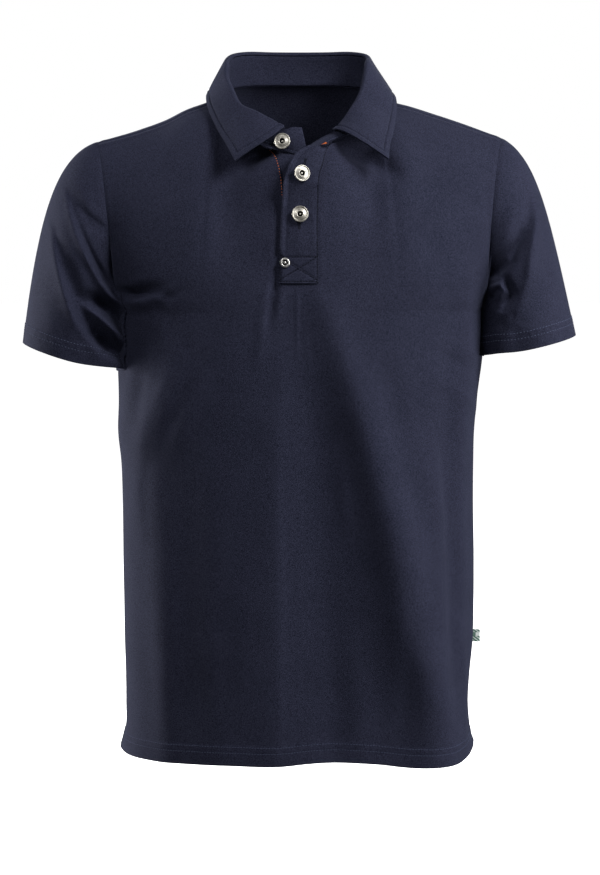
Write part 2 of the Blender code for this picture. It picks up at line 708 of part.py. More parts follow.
def make_trims(collection, metal):
    neck, top, up, out = stand_frame(FIRST_BUTTON_STATION)
    first = (neck + top) / 2 + out * (SEAM_GAP + BUTTON_LIFT) + np.array(FIRST_BUTTON_SHIFT)
    turned("button_1", collection, metal, BUTTON_PROFILE, first, FIRST_BUTTON_FACING)
    for name, (down, across, lean) in BAND_BUTTONS.items():
        seat = over_band_point(across, down) - np.array((0, SEAM_GAP + LEAN_LIFT * lean, 0))
        turned(name, collection, metal, BUTTON_PROFILE, seat, (lean, -1.0, BUTTON_TIP_UP - lean * 0.2))
    seat = over_band_point(*STUD_SEAT) - np.array((0, STUD_LIFT, 0))
    turned("corner_stud", collection, metal, STUD_PROFILE, seat, (0, -1, 0.05))


def make_tab(collection, look):
    top, foot = TAB_LEVEL
    reach = section_point((top + foot) / 2, 1.0, False)[0][0]
    bpy.ops.mesh.primitive_cube_add(size=1.0)
    tab = bpy.context.active_object
    tab.scale = Vector((TAB_REACH, TAB_CLOTH, top - foot)) * MM
    bpy.ops.object.transform_apply(location=False, rotation=False, scale=True)
    tab.location = Vector((reach + SEAM_GAP + TAB_REACH / 2, 0.0, (top + foot) / 2)) * MM
    tab.rotation_euler = (0.0, math.radians(TAB_DROOP), 0.0)
    return finish(tab, "side_tab", collection, look)


def build():
    clear_scene()
    collection = bpy.data.collections.new("polo_shirt")
    bpy.context.scene.collection.children.link(collection)
    pique = material("navy_pique", NAVY, 0.85)
    band = material("navy_band", NAVY_INSIDE, 0.82)
    metal = material("brushed_nickel", NICKEL, 0.32, 1.0)
    ribbon = material("green_ribbon", TAB_GREEN, 0.6)
    make_front(collection, pique)
    make_back(collection, pique)
    make_sleeve("left", collection, pique)
    make_sleeve("right", collection, pique)
    make_collar(collection, pique)
    make_bands(collection, band)
    make_trims(collection, metal)
    make_tab(collection, ribbon)


build()
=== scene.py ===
"""A men's short-sleeved polo shirt in navy knit, in the form it takes when worn: cloth, sewing and trims.

Lengths are in millimetres until a point reaches a mesh. The chest faces -Y and +Z is up.
"""

import math

import bpy
import numpy as np
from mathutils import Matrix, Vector
from mathutils.bvhtree import BVHTree


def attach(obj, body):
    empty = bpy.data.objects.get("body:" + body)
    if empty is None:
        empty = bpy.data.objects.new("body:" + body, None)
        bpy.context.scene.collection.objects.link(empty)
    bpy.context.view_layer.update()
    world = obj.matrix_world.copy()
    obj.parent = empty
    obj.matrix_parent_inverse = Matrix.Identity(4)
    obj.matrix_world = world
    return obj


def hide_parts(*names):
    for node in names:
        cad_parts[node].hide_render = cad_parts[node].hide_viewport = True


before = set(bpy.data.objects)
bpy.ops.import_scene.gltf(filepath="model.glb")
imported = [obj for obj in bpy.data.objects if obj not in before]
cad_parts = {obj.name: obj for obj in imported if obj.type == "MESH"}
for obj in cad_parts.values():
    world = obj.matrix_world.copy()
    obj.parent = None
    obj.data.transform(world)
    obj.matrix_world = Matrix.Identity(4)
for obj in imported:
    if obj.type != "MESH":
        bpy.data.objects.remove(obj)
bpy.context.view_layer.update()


# The front and the back are knitted cotton pique, cut to shape and sewn at the sides and the shoulders.
# Each is a sheet over level sections of a hollow body below the arms, and over curves from there up to
# the neck edge and the shoulder seam. Its folds are those of cloth that hangs from the shoulders.

MM = 0.001
SEAM_GAP = 0.3
BODY_CLOTH = 1.3
HEM_LEVEL = -716.0
UNDERARM_LEVEL = -232.0
SLIT_FOOT = 0.25
SLIT_SHARE = 0.064
NECK_POINT = 0.40
VENT_FROM = 0.85
SEAM_FLAT = 0.06
VENT_LENGTH = 40.0
VENT_FLARE = 4.0
VENT_OPENS = 2.0
# From where the points lie closer together: share of the way out, and of the way up.
CLOSE_TO_SIDE = 0.965
CLOSE_TO_HEM = 0.05
CLOSE_TO_TOP = 1.93
# How far the seams are drawn apart as shares of the gap between pieces: at the sides, at the neck's end
# of the shoulders, and how much less at their outer end.
SIDE_PULL = 0.6
SHOULDER_PULL = 0.75
SHOULDER_PULL_LOSS = 0.5
ARMHOLE_SEAM_SHARE = 0.4
# A slight unevenness of the cloth: its height, and the lengths that its waves are made of.
UNEVEN_HEIGHT = 0.35
UNEVEN_WAVES = (17, 29, 41)
UNEVEN_FROM_EDGE = 30
SEAM_DIP = (0.7, 1.7)
SEAM_RIDGE = (0.55, 3.2)
SEAM_RIDGE_AT = 5.5
# The rounding of a cloth's edge: share of its thickness, most, and from what angle in degrees.
EDGE_ROUND = 0.3
EDGE_ROUND_MOST = 0.5
EDGE_ANGLE = 50
WELD_DISTANCE = 0.00001

# Level, reach to -X, reach to +X, depth in front, depth behind.
BODY_SECTIONS = (
    (-716, 195.0, 190.5, 118, 106),
    (-690, 192.0, 186.0, 118, 107),
    (-664, 191.6, 184.2, 118, 107.5),
    (-640, 191.6, 186.5, 118, 108),
    (-600, 192.5, 191.3, 119, 109),
    (-550, 193.0, 192.6, 119.5, 109.5),
    (-510, 193.4, 192.5, 120, 110),
    (-440, 193.6, 191.0, 121, 111),
    (-400, 194.8, 191.0, 121.5, 112),
    (-367, 198.0, 191.5, 122, 113),
    (-334, 197.0, 194.0, 123, 114),
    (-285, 198.0, 200.0, 123, 116),
    (-232, 199.0, 203.0, 121, 117),
)
SECTION_SQUARENESS = 2.4
# Share of the way out, rise of the front's hem, rise of the back's.
HEM_RISE = (
    (-1.00, -5, -3),
    (-0.80, -3, -2),
    (-0.60, -1, 1),
    (-0.30, 1, 0),
    (-0.08, 1, -2),
    (0.05, 4, 0),
    (0.20, 4.5, 2),
    (0.33, 2.5, 1),
    (0.45, -1, -1),
    (0.60, -2, 0),
    (0.85, -2.5, -2),
    (1.00, 2.5, 0),
)
HEM_RISE_FADES = 120.0
# Share of the way out, then x, y, z on each side.
SHOULDER_SEAM = (
    (0.00, -82, -13, -5.5, 82, -13, -5.5),
    (0.14, -100, -13.5, -14, 100, -13.5, -13),
    (0.28, -120, -14, -21, 120, -14, -18),
    (0.46, -143, -14, -32.5, 146, -14, -26.3),
    (0.68, -173, -14, -43, 176, -14, -36),
    (1.00, -217, -14, -54.5, 218, -14, -50),
)
# Share of the way out, then the handle at the foot (out, forward or back, up) and the one at the top.
FRONT_RISE = (
    (0.00, 0, 0, 55, 0, 22, -40),
    (0.064, 4, 0, 55, -24, 18, -28),
    (0.18, 0, 0, 58, -8, 22, -34),
    (0.29, 0, 4, 62, 0, 34, -34),
    (0.40, 0, 9, 68, 8, 64, -30),
    (0.60, 0, 18, 62, 5, 66, -32),
    (0.80, 4, 36, 52, 4, 66, -36),
    (0.90, 4, 52, 34, -4, 66, -39),
    (1.00, -3, 72, 12, -14, 66, -42),
)
BACK_RISE = (
    (0.00, 0, 3, 70, 0, 30, -22),
    (0.18, 0, 3, 72, 4, 33, -18),
    (0.29, 0, 5, 74, 5, 42, -4),
    (0.40, 0, 8, 75, 6, 72, 24),
    (0.60, 0, 16, 70, 4, 74, 30),
    (0.80, 3, 36, 58, 3, 76, 30),
    (0.90, 4, 54, 40, 2, 78, 27),
    (1.00, 2, 78, 16, -6, 78, 26),
)
# The stand's neck edge and top edge, x, y, z each, from its left end around the back.
STAND = (
    (10, -95, -71, 3, -88, -40),
    (-5, -93, -67.5, -6, -89.5, -39.5),
    (-15, -91.5, -64.5, -15.6, -89, -41.5),
    (-30.5, -88.5, -58.5, -29.8, -82, -34.4),
    (-50, -81, -51, -46, -73, -26),
    (-66, -67, -42, -61.5, -60, -18),
    (-77, -48, -29, -71, -42, 0),
    (-82, -30, -16, -76.5, -25, 12),
    (-82, -13, -5.5, -77.5, -8, 25),
    (-80, 8, 2, -77, 12, 33.5),
    (-73, 28, 6.5, -70.5, 31, 40),
    (-54, 48, 10, -54, 47, 43),
    (-30, 58, 11, -30, 56, 43),
    (0, 61, 11, 0, 59, 43),
    (30, 58, 11, 30, 56, 43),
    (54, 48, 10, 54, 47, 43),
    (73, 28, 6.5, 70.5, 31, 40),
    (80, 8, 2, 74.5, 12, 34.5),
    (82, -13, -5.5, 72.5, -8, 29),
    (82, -30, -15, 70.5, -26, 16.5),
    (77, -48, -28, 65, -43, -6),
    (64, -68, -41, 54.5, -59, -24.5),
    (46, -83, -50, 44.5, -69, -37.5),
    (34, -89.5, -54.5, 36, -73.5, -45),
    (27, -93, -58.5, 25, -75, -50.5),
    (13.4, -97, -65, 11, -78, -59),
)
SLIT_STATIONS = (3, 24)
NECK_POINT_STATIONS = (8, 18)

# Folds in front view: (x, z) points, height, half width, and how much softer the left side is.
# The creases are smaller forms over the folds, in the same columns.
FRONT_FOLDS = (
    (((-186, -214), (-143, -208)), -4.0, 7, 0),
    (((-139, -208), (-139, -226)), -2.5, 6, 0),
    (((-126, -280), (-147, -330), (-169, -376)), 4.5, 12, 0),
    (((-101, -300), (-136, -381)), 2.5, 11, 0),
    (((-166, -290), (-176, -345)), -3.0, 9, 0),
    (((-138, -447), (-137, -701)), 2.5, 12, 0),
    (((-59, -490), (-59, -650)), 1.5, 22, 0),
    (((28, -225), (58, -320), (88, -455), (106, -560), (130, -645), (139, -700)), 4.0, 15, 0),
    (((98, -290), (100, -400), (104, -560), (112, -700)), 8.0, 42, 0),
    (((4, -262), (36, -400), (66, -560), (84, -690)), -2.5, 24, 0),
    (((88, -290), (103, -360), (117, -430), (130, -500), (134, -590)), -3.5, 12, 0),
    (((130, -370), (143, -450), (150, -560)), 2.5, 10, 0),
    (((157, -290), (156, -400), (161, -520), (158, -640)), -3.0, 10, 0),
    (((172, -330), (174, -480), (172, -695)), 3.0, 8, 0),
)
FRONT_CREASES = (
    (((34, -240), (62, -320), (84, -385), (105, -450), (121, -520), (133, -590), (142, -660), (149, -740),
      (152, -800), (154, -860), (156, -920), (158, -980)), 11.0, 27, 0.1),
    (((120, -480), (138, -620), (147, -700), (151, -900)), 13.0, 36, 0.15),
    (((10, -320), (19, -440), (29, -560), (40, -820)), -6.0, 27, 0.1),
    (((-20, -290), (-24, -420), (-22, -560), (-24, -720)), 2.0, 16, 0.5),
    (((-122, -290), (-140, -335), (-156, -380)), 2.5, 10, 0.2),
    (((142, -372), (150, -450), (156, -560)), 1.8, 7, 0.3),
    (((177, -196), (178, -250), (176, -310), (172, -390)), 3.5, 12, 0),
    (((-154, -380), (-151, -520), (-147, -640), (-143, -760)), 3.0, 13, 0),
    (((-190, -214), (-170, -214), (-152, -208)), -3.2, 4.5, 0),
    (((-188, -226), (-166, -222), (-148, -217), (-136, -208)), 3.2, 5.5, 0.3),
    (((-190, -211), (-181, -213), (-174, -214)), -5.0, 4.5, 0),
    (((-184, -204), (-172, -202), (-160, -196)), 1.4, 4.0, 0),
    (((-186, -236), (-170, -236), (-160, -233)), -1.6, 4.0, 0),
    (((-152, -214), (-134, -216), (-116, -206)), -1.6, 3.4, 0),
    (((-20, -112), (-21, -150), (-23, -190), (-24, -208)), -2.2, 3.0, 0),
    (((34, -50), (62, -66), (98, -85)), -13.0, 10, 0),
    (((-18, -50), (-42, -65), (-74, -85)), -13.0, 10, 0),
    (((-139, -206), (-141, -232), (-146, -262)), 1.6, 5, -0.3),
    (((-168, -216), (-146, -226), (-133, -247)), -1.8, 7, 0.2),
    (((-118, -268), (-152, -352)), -1.6, 6, 0.2),
    (((-160, -330), (-172, -420), (-168, -480)), 1.8, 9, 0.3),
    (((-112, -390), (-118, -520), (-108, -690)), -1.5, 16, 0.3),
    (((-84, -420), (-96, -560), (-88, -700)), 1.2, 14, 0),
    (((45, -394), (50, -457)), 1.2, 7, 0.2),
    (((96, -330), (118, -430), (136, -520)), 1.6, 10, -0.4),
    (((152, -470), (158, -590), (152, -690)), -2.2, 8, 0.3),
    (((110, -520), (112, -620), (106, -700)), -1.8, 12, -0.3),
    (((168, -560), (174, -640), (172, -700)), 1.6, 6, 0),
    (((146, -272), (170, -285), (192, -300)), -1.8, 6, 0.4),
    (((138, -300), (168, -318), (190, -340)), 1.4, 8, 0),
    (((-22, -190), (-25, -212), (-31, -246)), -4.0, 3.6, 0.4),
    (((-33, -214), (-38, -246), (-42, -284)), 1.6, 6, 0),
    (((-18, -212), (-22, -236)), 1.0, 3.5, 0),
    (((-2, -205), (-2, -240), (-2, -278)), 0.7, 1.6, 0),
    (((-6, -285), (-14, -400), (-10, -520)), 0.9, 18, 0),
    (((60, -570), (66, -700)), 1.4, 15, 0),
    (((4, -560), (2, -700)), -1.1, 16, 0),
    (((-100, -110), (-128, -150), (-140, -190)), -1.0, 14, 0),
    (((100, -120), (138, -160), (158, -205)), -1.2, 14, 0),
    (((60, -90), (84, -128)), -0.9, 10, 0),
)
BACK_FOLDS = (
    (((-150, -190), (-90, -330), (-70, -520)), 4.0, 18, 0),
    (((150, -200), (100, -340), (84, -560)), 4.5, 18, 0),
    (((-20, -260), (-8, -470), (-30, -690)), -5.0, 26, 0),
    (((-128, -420), (-140, -690)), 4.0, 15, 0),
    (((120, -470), (142, -700)), 4.0, 15, 0),
)
BACK_CREASES = (
    (((-178, -226), (-140, -262), (-118, -310)), -2.4, 8, 0.3),
    (((176, -228), (140, -268), (112, -330)), -2.6, 9, -0.3),
    (((-186, -244), (-150, -300), (-142, -360)), 1.8, 7, 0),
    (((188, -250), (156, -312), (140, -380)), 1.6, 8, 0),
    (((-60, -420), (-46, -560), (-52, -700)), 2.0, 14, 0.2),
    (((46, -400), (38, -560), (52, -700)), 2.2, 13, -0.2),
    (((-106, -500), (-104, -700)), -2.2, 10, 0),
    (((104, -520), (110, -700)), -2.0, 11, 0),
    (((-160, -500), (-166, -690)), -1.8, 9, 0.2),
    (((164, -480), (168, -690)), -2.0, 8, 0),
    (((-40, -60), (0, -72), (44, -58)), -1.4, 9, 0),
    (((-120, -96), (-60, -150)), 1.4, 14, 0),
    (((124, -92), (70, -150)), 1.2, 13, 0),
    (((10, -300), (14, -420)), 1.2, 12, 0),
)
SHOULDER_TIP = 0.45
FOLD_END = 0.35

# Twin rows of stitches hold the hem, a turned-up strip that stands a little proud.
HEM_ROWS = (14.0, 20.5)
HEM_DEPTH = 21.5
HEM_PROUD = 0.5
HEM_GROOVE = 0.14
HEM_PUCKER = 0.10
HEM_PUCKER_AT = 17.0


def table_at(table, keys):
    """The other columns of a table at values of its first column, joined by smooth curves."""
    rows = np.asarray(table, float)
    knots, values = rows[:, 0], rows[:, 1:]
    slopes = np.gradient(values, knots, axis=0)
    place = np.clip(np.asarray(keys, float), knots[0], knots[-1])
    i = np.clip(np.searchsorted(knots, place) - 1, 0, len(knots) - 2)
    step = (knots[i + 1] - knots[i])[..., None]
    t = (place - knots[i])[..., None] / step
    start = (1 + 2 * t) * (1 - t) ** 2 * values[i] + t * (1 - t) ** 2 * step * slopes[i]
    return start + t * t * (3 - 2 * t) * values[i + 1] - t * t * (1 - t) * step * slopes[i + 1]


def station(table, places):
    """Rows between the rows of a table that has no key column."""
    return table_at([(number, *row) for number, row in enumerate(table)], places)


def bezier(start, first, second, end, t):
    """A point of a cubic curve with two handles."""
    s = 1 - t
    return s ** 3 * start + 3 * s * s * t * first + 3 * s * t * t * second + t ** 3 * end


def unit(vectors):
    return vectors / np.linalg.norm(vectors, axis=-1, keepdims=True)


def bump(distance, width):
    """1 at no distance, falling off smoothly to either side."""
    return np.exp(-((distance / width) ** 2))


def ease(low, high, value):
    """0 below low, 1 above high, and a smooth step between."""
    t = np.clip((value - low) / (high - low), 0.0, 1.0)
    return t * t * (3 - 2 * t)


def fold_height(folds, x, z):
    """How far the folds lift the cloth at places in front view."""
    total = np.zeros(x.shape)
    for points, height, width, softer in folds:
        legs = len(points) - 1
        best = np.full(x.shape, 1e9)
        along = np.zeros(x.shape)
        side = np.zeros(x.shape)
        for number in range(legs):
            ax, az = points[number]
            dx, dz = points[number + 1][0] - ax, points[number + 1][1] - az
            held = np.clip(((x - ax) * dx + (z - az) * dz) / (dx * dx + dz * dz), 0, 1)
            distance = np.hypot(x - ax - held * dx, z - az - held * dz)
            nearer = distance < best
            best = np.where(nearer, distance, best)
            along = np.where(nearer, (number + held) / legs, along)
            side = np.where(nearer, np.sign((x - ax) * dz - (z - az) * dx), side)
        taper = FOLD_END + (1 - FOLD_END) * np.sin(np.pi * along)
        total += height * taper * bump(best, width * (1 + softer * side))
    return total


def section(level, shares, back):
    """Points of the body's outer face at a level, and the level directions that face out."""
    reach_left, reach_right, front, behind = table_at(BODY_SECTIONS, level)
    side = np.where(shares < 0, -1.0, 1.0)
    facing = 1.0 if back else -1.0
    depth = behind if back else front
    angles = np.radians(np.linspace(0.0, 90.0, 61))
    power = 2.0 / SECTION_SQUARENESS
    x, y = np.zeros(shares.shape), np.zeros(shares.shape)
    for reach, here in ((reach_left, shares < 0), (reach_right, shares >= 0)):
        xs, ys = reach * np.sin(angles) ** power, depth * np.cos(angles) ** power
        lengths = np.concatenate(([0.0], np.cumsum(np.hypot(np.diff(xs), np.diff(ys)))))
        target = np.abs(shares) * lengths[-1]
        x = np.where(here, np.interp(target, lengths, xs), x)
        y = np.where(here, np.interp(target, lengths, ys), y)
    reach = np.where(shares < 0, reach_left, reach_right)
    grow = SECTION_SQUARENESS - 1
    out_x, out_y = (x / reach) ** grow / reach, (y / depth) ** grow / depth
    points = np.stack([side * x, facing * y, np.full(shares.shape, float(level))], -1)
    return points, unit(np.stack([side * out_x, facing * out_y, np.zeros(shares.shape)], -1))


def top_edge(shares, back):
    """A panel's top edge: its neck edge, which is the stand's, then its shoulder seam."""
    out = np.abs(shares)
    right = shares >= 0
    seam = table_at(SHOULDER_SEAM, (out - NECK_POINT) / (1 - NECK_POINT))
    seam = np.where(right[:, None], seam[:, 3:], seam[:, :3])
    ends = np.where(right, NECK_POINT_STATIONS[1], NECK_POINT_STATIONS[0])
    if back:
        start, reach = sum(NECK_POINT_STATIONS) / 2, out / NECK_POINT
    else:
        start = np.where(right, SLIT_STATIONS[1], SLIT_STATIONS[0])
        reach = np.maximum(out - SLIT_SHARE, 0) / (NECK_POINT - SLIT_SHARE)
    neck = station(STAND, start + (ends - start) * np.minimum(reach, 1))[:, :3]
    if not back:
        left, right_end = station(STAND, SLIT_STATIONS[0])[:3], station(STAND, SLIT_STATIONS[1])[:3]
        across = (shares / SLIT_SHARE + 1)[:, None] / 2
        neck = np.where((out < SLIT_SHARE)[:, None], left + (right_end - left) * across, neck)
    return np.where((out >= NECK_POINT)[:, None], seam, neck)


def panel(shares, rises, back, folds):
    """The front's or back's outer face: rows run 0 to 1 up to the underarm and 1 to 2 above it."""
    shares, rises = np.asarray(shares, float), np.asarray(rises, float)
    facing = 1.0 if back else -1.0
    side = np.where(shares < 0, -1.0, 1.0)
    foot, foot_out = section(UNDERARM_LEVEL, shares, back)
    top = top_edge(shares, back)
    handle = table_at(BACK_RISE if back else FRONT_RISE, np.abs(shares))
    turn = np.stack([side, np.full(shares.shape, facing), np.ones(shares.shape)], -1)
    hem_rise = table_at(HEM_RISE, shares)[:, 1 if back else 0]
    corner = np.maximum(0, np.abs(shares) - VENT_FROM) / (1 - VENT_FROM)
    grid, outs = [], []
    for rise in rises:
        if rise <= 1:
            above = (UNDERARM_LEVEL - HEM_LEVEL) * rise
            points, out = section(HEM_LEVEL + above, shares, back)
            open_share = (corner * max(0.0, 1 - above / VENT_LENGTH)) ** 2
            points[:, 0] += side * VENT_FLARE * open_share
            points[:, 1] += facing * VENT_OPENS * open_share
            points[:, 2] += hem_rise * max(0.0, 1 - above / HEM_RISE_FADES)
        else:
            points = bezier(foot, foot + handle[:, :3] * turn, top + handle[:, 3:] * turn, top, rise - 1)
            out = unit(foot_out * (2 - rise) + np.array((0.0, facing, SHOULDER_TIP)) * (rise - 1))
        grid.append(points)
        outs.append(out)
    grid, outs = np.array(grid), np.array(outs)
    calm = np.minimum(1, (1 - np.abs(shares)) / SEAM_FLAT)[None, :]
    lift = fold_height(folds, grid[..., 0], grid[..., 2]) * calm
    return grid + outs * lift[..., None]


def run_from_foot(grid):
    """How far each point lies from the grid's first row, measured along its column."""
    steps = np.linalg.norm(np.diff(grid, axis=0), axis=-1)
    return np.concatenate([np.zeros((1, grid.shape[1])), np.cumsum(steps, axis=0)])


def run_from_top(grid):
    """How far each point lies from the grid's last row, measured along its column."""
    return run_from_foot(grid[::-1])[::-1]


def run_from_left(grid):
    """How far each point lies from the grid's first column, measured along its row."""
    return run_from_foot(np.swapaxes(grid, 0, 1)).T


def run_from_right(grid):
    """How far each point lies from the grid's last column, measured along its row."""
    return run_from_left(grid[:, ::-1])[:, ::-1]


def grid_normals(grid):
    """Unit normals of a grid whose columns run right and rows run up, seen from outside."""
    return unit(np.cross(np.gradient(grid, axis=1), np.gradient(grid, axis=0)))


def hem_relief(distance, along):
    """The turned-up hem's own thickness, the two stitched grooves and a slight pucker between them."""
    proud = HEM_PROUD * (1 - ease(HEM_DEPTH - 1.5, HEM_DEPTH + 1.5, distance))
    grooves = sum(bump(distance - row, 1.0) for row in HEM_ROWS)
    waves = np.sin(along / 1.9 + 2.0 * np.sin(along / 23.0))
    return proud - HEM_GROOVE * grooves + HEM_PUCKER * waves * bump(distance - HEM_PUCKER_AT, 7.0)


def seam_relief(distance):
    """Cloth dips into a seam and rides over the allowance beside it."""
    ridge, ridge_width = SEAM_RIDGE
    dip, dip_width = SEAM_DIP
    return ridge * bump(distance - SEAM_RIDGE_AT, ridge_width) - dip * bump(distance, dip_width)


def spread(*pieces):
    """Values from (start, end, step count) pieces, each continuing the last."""
    values = [pieces[0][0]]
    for start, end, steps in pieces:
        values += [start + (end - start) * (number + 1) / steps for number in range(steps)]
    return np.array(values)


def grid_quads(grid):
    """The point numbers of each face between a grid's rows and columns."""
    rows, columns = grid.shape[:2]
    numbers = np.arange(rows * columns).reshape(rows, columns)
    return np.stack([numbers[:-1, :-1], numbers[:-1, 1:], numbers[1:, 1:], numbers[1:, :-1]], -1)


def reshaped(piece, kind, **settings):
    """Gives a piece a modifier with these settings and applies it."""
    change = piece.modifiers.new(kind.title(), kind)
    for name, value in settings.items():
        setattr(change, name, value)
    bpy.ops.object.modifier_apply(modifier=change.name)


def linked(name, mesh):
    """A new object of a mesh, as the only one selected."""
    piece = bpy.data.objects.new(name, mesh)
    bpy.context.scene.collection.objects.link(piece)
    for other in bpy.context.selected_objects:
        other.select_set(False)
    piece.select_set(True)
    bpy.context.view_layer.objects.active = piece
    return piece


def cloth_piece(name, grid, wall, look, closed=False, keep=None):
    """A grid of points as a sheet of cloth with its thickness behind it and its lengths as UV."""
    across = run_from_left(grid).mean(0) * MM
    up = run_from_foot(grid).mean(1) * MM
    quads = grid_quads(grid)
    if keep is not None:
        quads = quads[keep]
    used, quads = np.unique(quads.reshape(-1, 4), return_inverse=True)
    quads = quads.reshape(-1, 4)
    mesh = bpy.data.meshes.new(name)
    mesh.from_pydata((grid.reshape(-1, 3)[used] * MM).tolist(), [], quads.tolist())
    layer = mesh.uv_layers.new(name="Cloth")
    uvs = np.stack(np.broadcast_arrays(across[None, :], up[:, None]), -1).reshape(-1, 2)[used]
    layer.data.foreach_set("uv", uvs[quads.reshape(-1)].astype(np.float32).reshape(-1))
    piece = linked(name, mesh)
    if closed:
        reshaped(piece, "WELD", merge_threshold=WELD_DISTANCE)
    reshaped(piece, "SOLIDIFY", thickness=wall * MM, offset=-1.0)
    reshaped(piece, "BEVEL", width=min(EDGE_ROUND * wall, EDGE_ROUND_MOST) * MM, segments=2,
             limit_method="ANGLE", angle_limit=math.radians(EDGE_ANGLE))
    piece.data.shade_smooth()
    piece.data.materials.append(look)
    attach(piece, "root")
    return piece


class Dye:
    """A value in a material's nodes. Python's operators on it add the Math nodes that they stand for."""

    def __init__(self, tree, socket=None):
        self.tree = tree
        self.socket = socket

    def node(self, kind, settings=None, sockets=None, output=0):
        """A new node of a type, with its settings and its sockets' values, as one of its outputs."""
        made = self.tree.nodes.new(kind)
        for name, value in (settings or {}).items():
            setattr(made, name, value)
        for name, value in (sockets or {}).items():
            if isinstance(value, Dye):
                self.tree.links.new(value.socket, made.inputs[name])
            else:
                made.inputs[name].default_value = value
        return Dye(self.tree, made.outputs[output])

    def maths(self, operation, first, second=0.0):
        return self.node("ShaderNodeMath", {"operation": operation}, {0: first, 1: second})

    def __add__(self, other):
        return self.maths("ADD", self, other)

    def __radd__(self, other):
        return self.maths("ADD", other, self)

    def __sub__(self, other):
        return self.maths("SUBTRACT", self, other)

    def __rsub__(self, other):
        return self.maths("SUBTRACT", other, self)

    def __mul__(self, other):
        return self.maths("MULTIPLY", self, other)

    def __rmul__(self, other):
        return self.maths("MULTIPLY", other, self)

    def __gt__(self, other):
        return self.maths("GREATER_THAN", self, other)

    def sine(self):
        return self.maths("SINE", self)

    def wave(self, pitch):
        """A sine of this length in metres along the value."""
        return (self * (2 * math.pi / pitch)).sine()

    def axes(self):
        """The first two parts of a place."""
        return [self.node("ShaderNodeSeparateXYZ", sockets={0: self}, output=axis) for axis in (0, 1)]

    def grain(self, scale, detail=2.0, roughness=0.5):
        """Noise at a place."""
        return self.node("ShaderNodeTexNoise", sockets={
            "Vector": self, "Scale": scale, "Detail": detail, "Roughness": roughness})

    def blend(self, low, high):
        """A colour from low to high as this value goes from 0 to 1."""
        return self.node("ShaderNodeMix", {"data_type": "RGBA"}, {
            "Factor": self, 6: (*low, 1.0), 7: (*high, 1.0)}, output=2)

    def feed(self, shader, name):
        self.tree.links.new(self.socket, shader.inputs[name])

    def raise_in(self, shader, strength, depth):
        """Uses this value as a fine relief of the shader's surface."""
        self.node("ShaderNodeBump", sockets={
            "Strength": strength, "Distance": depth, "Height": self}).feed(shader, "Normal")


def new_look(name, roughness, metallic=0.0):
    """A new material, its shader, and the cloth's own lengths and the part's as values to start from."""
    made = bpy.data.materials.new(name)
    made.use_nodes = True
    shader = made.node_tree.nodes["Principled BSDF"]
    shader.inputs["Roughness"].default_value = roughness
    shader.inputs["Metallic"].default_value = metallic
    start = Dye(made.node_tree)
    lengths, place = (start.node("ShaderNodeTexCoord", output=kind) for kind in ("UV", "Object"))
    return made, shader, lengths, place


# Pique: staggered raised cells of cotton yarn in deep navy, with a little fuzz that catches light.
CELL_WIDE = 0.0013
CELL_HIGH = 0.0011
FUZZ_SCALE = 1150.0
WEAR_SCALE = 26.0
# How much the cells, the fuzz and the wear change the shade, and how high the fuzz stands.
CELL_SHADE, FUZZ_SHADE, WEAR_SHADE = 0.14, 4.2, 0.3
FUZZ_HEIGHT = 1.6
SHEEN_TINT = (0.62, 0.68, 1.0, 1.0)


def pique(name, dark, light, cells=0.35):
    """A material of knitted pique, whose cells are raised by a share."""
    made, shader, lengths, place = new_look(name, 0.9)
    across, up = lengths.axes()
    cell = across.wave(CELL_WIDE) * up.wave(CELL_HIGH)
    fuzz = place.grain(FUZZ_SCALE, roughness=0.7)
    wear = place.grain(WEAR_SCALE)
    shade = 0.5 + cell * CELL_SHADE + (fuzz - 0.5) * FUZZ_SHADE + (wear - 0.5) * WEAR_SHADE
    shade.blend(dark, light).feed(shader, "Base Color")
    (cell * cells + fuzz * FUZZ_HEIGHT).raise_in(shader, 0.35, 0.0004)
    shader.inputs["Sheen Weight"].default_value = 0.06
    shader.inputs["Sheen Roughness"].default_value = 0.4
    shader.inputs["Sheen Tint"].default_value = SHEEN_TINT
    shader.inputs["Specular IOR Level"].default_value = 0.06
    return made


NAVY_DARK = (0.0068, 0.0077, 0.0158)
NAVY_LIGHT = (0.0258, 0.0278, 0.0498)
navy_pique = pique("navy pique", NAVY_DARK, NAVY_LIGHT)


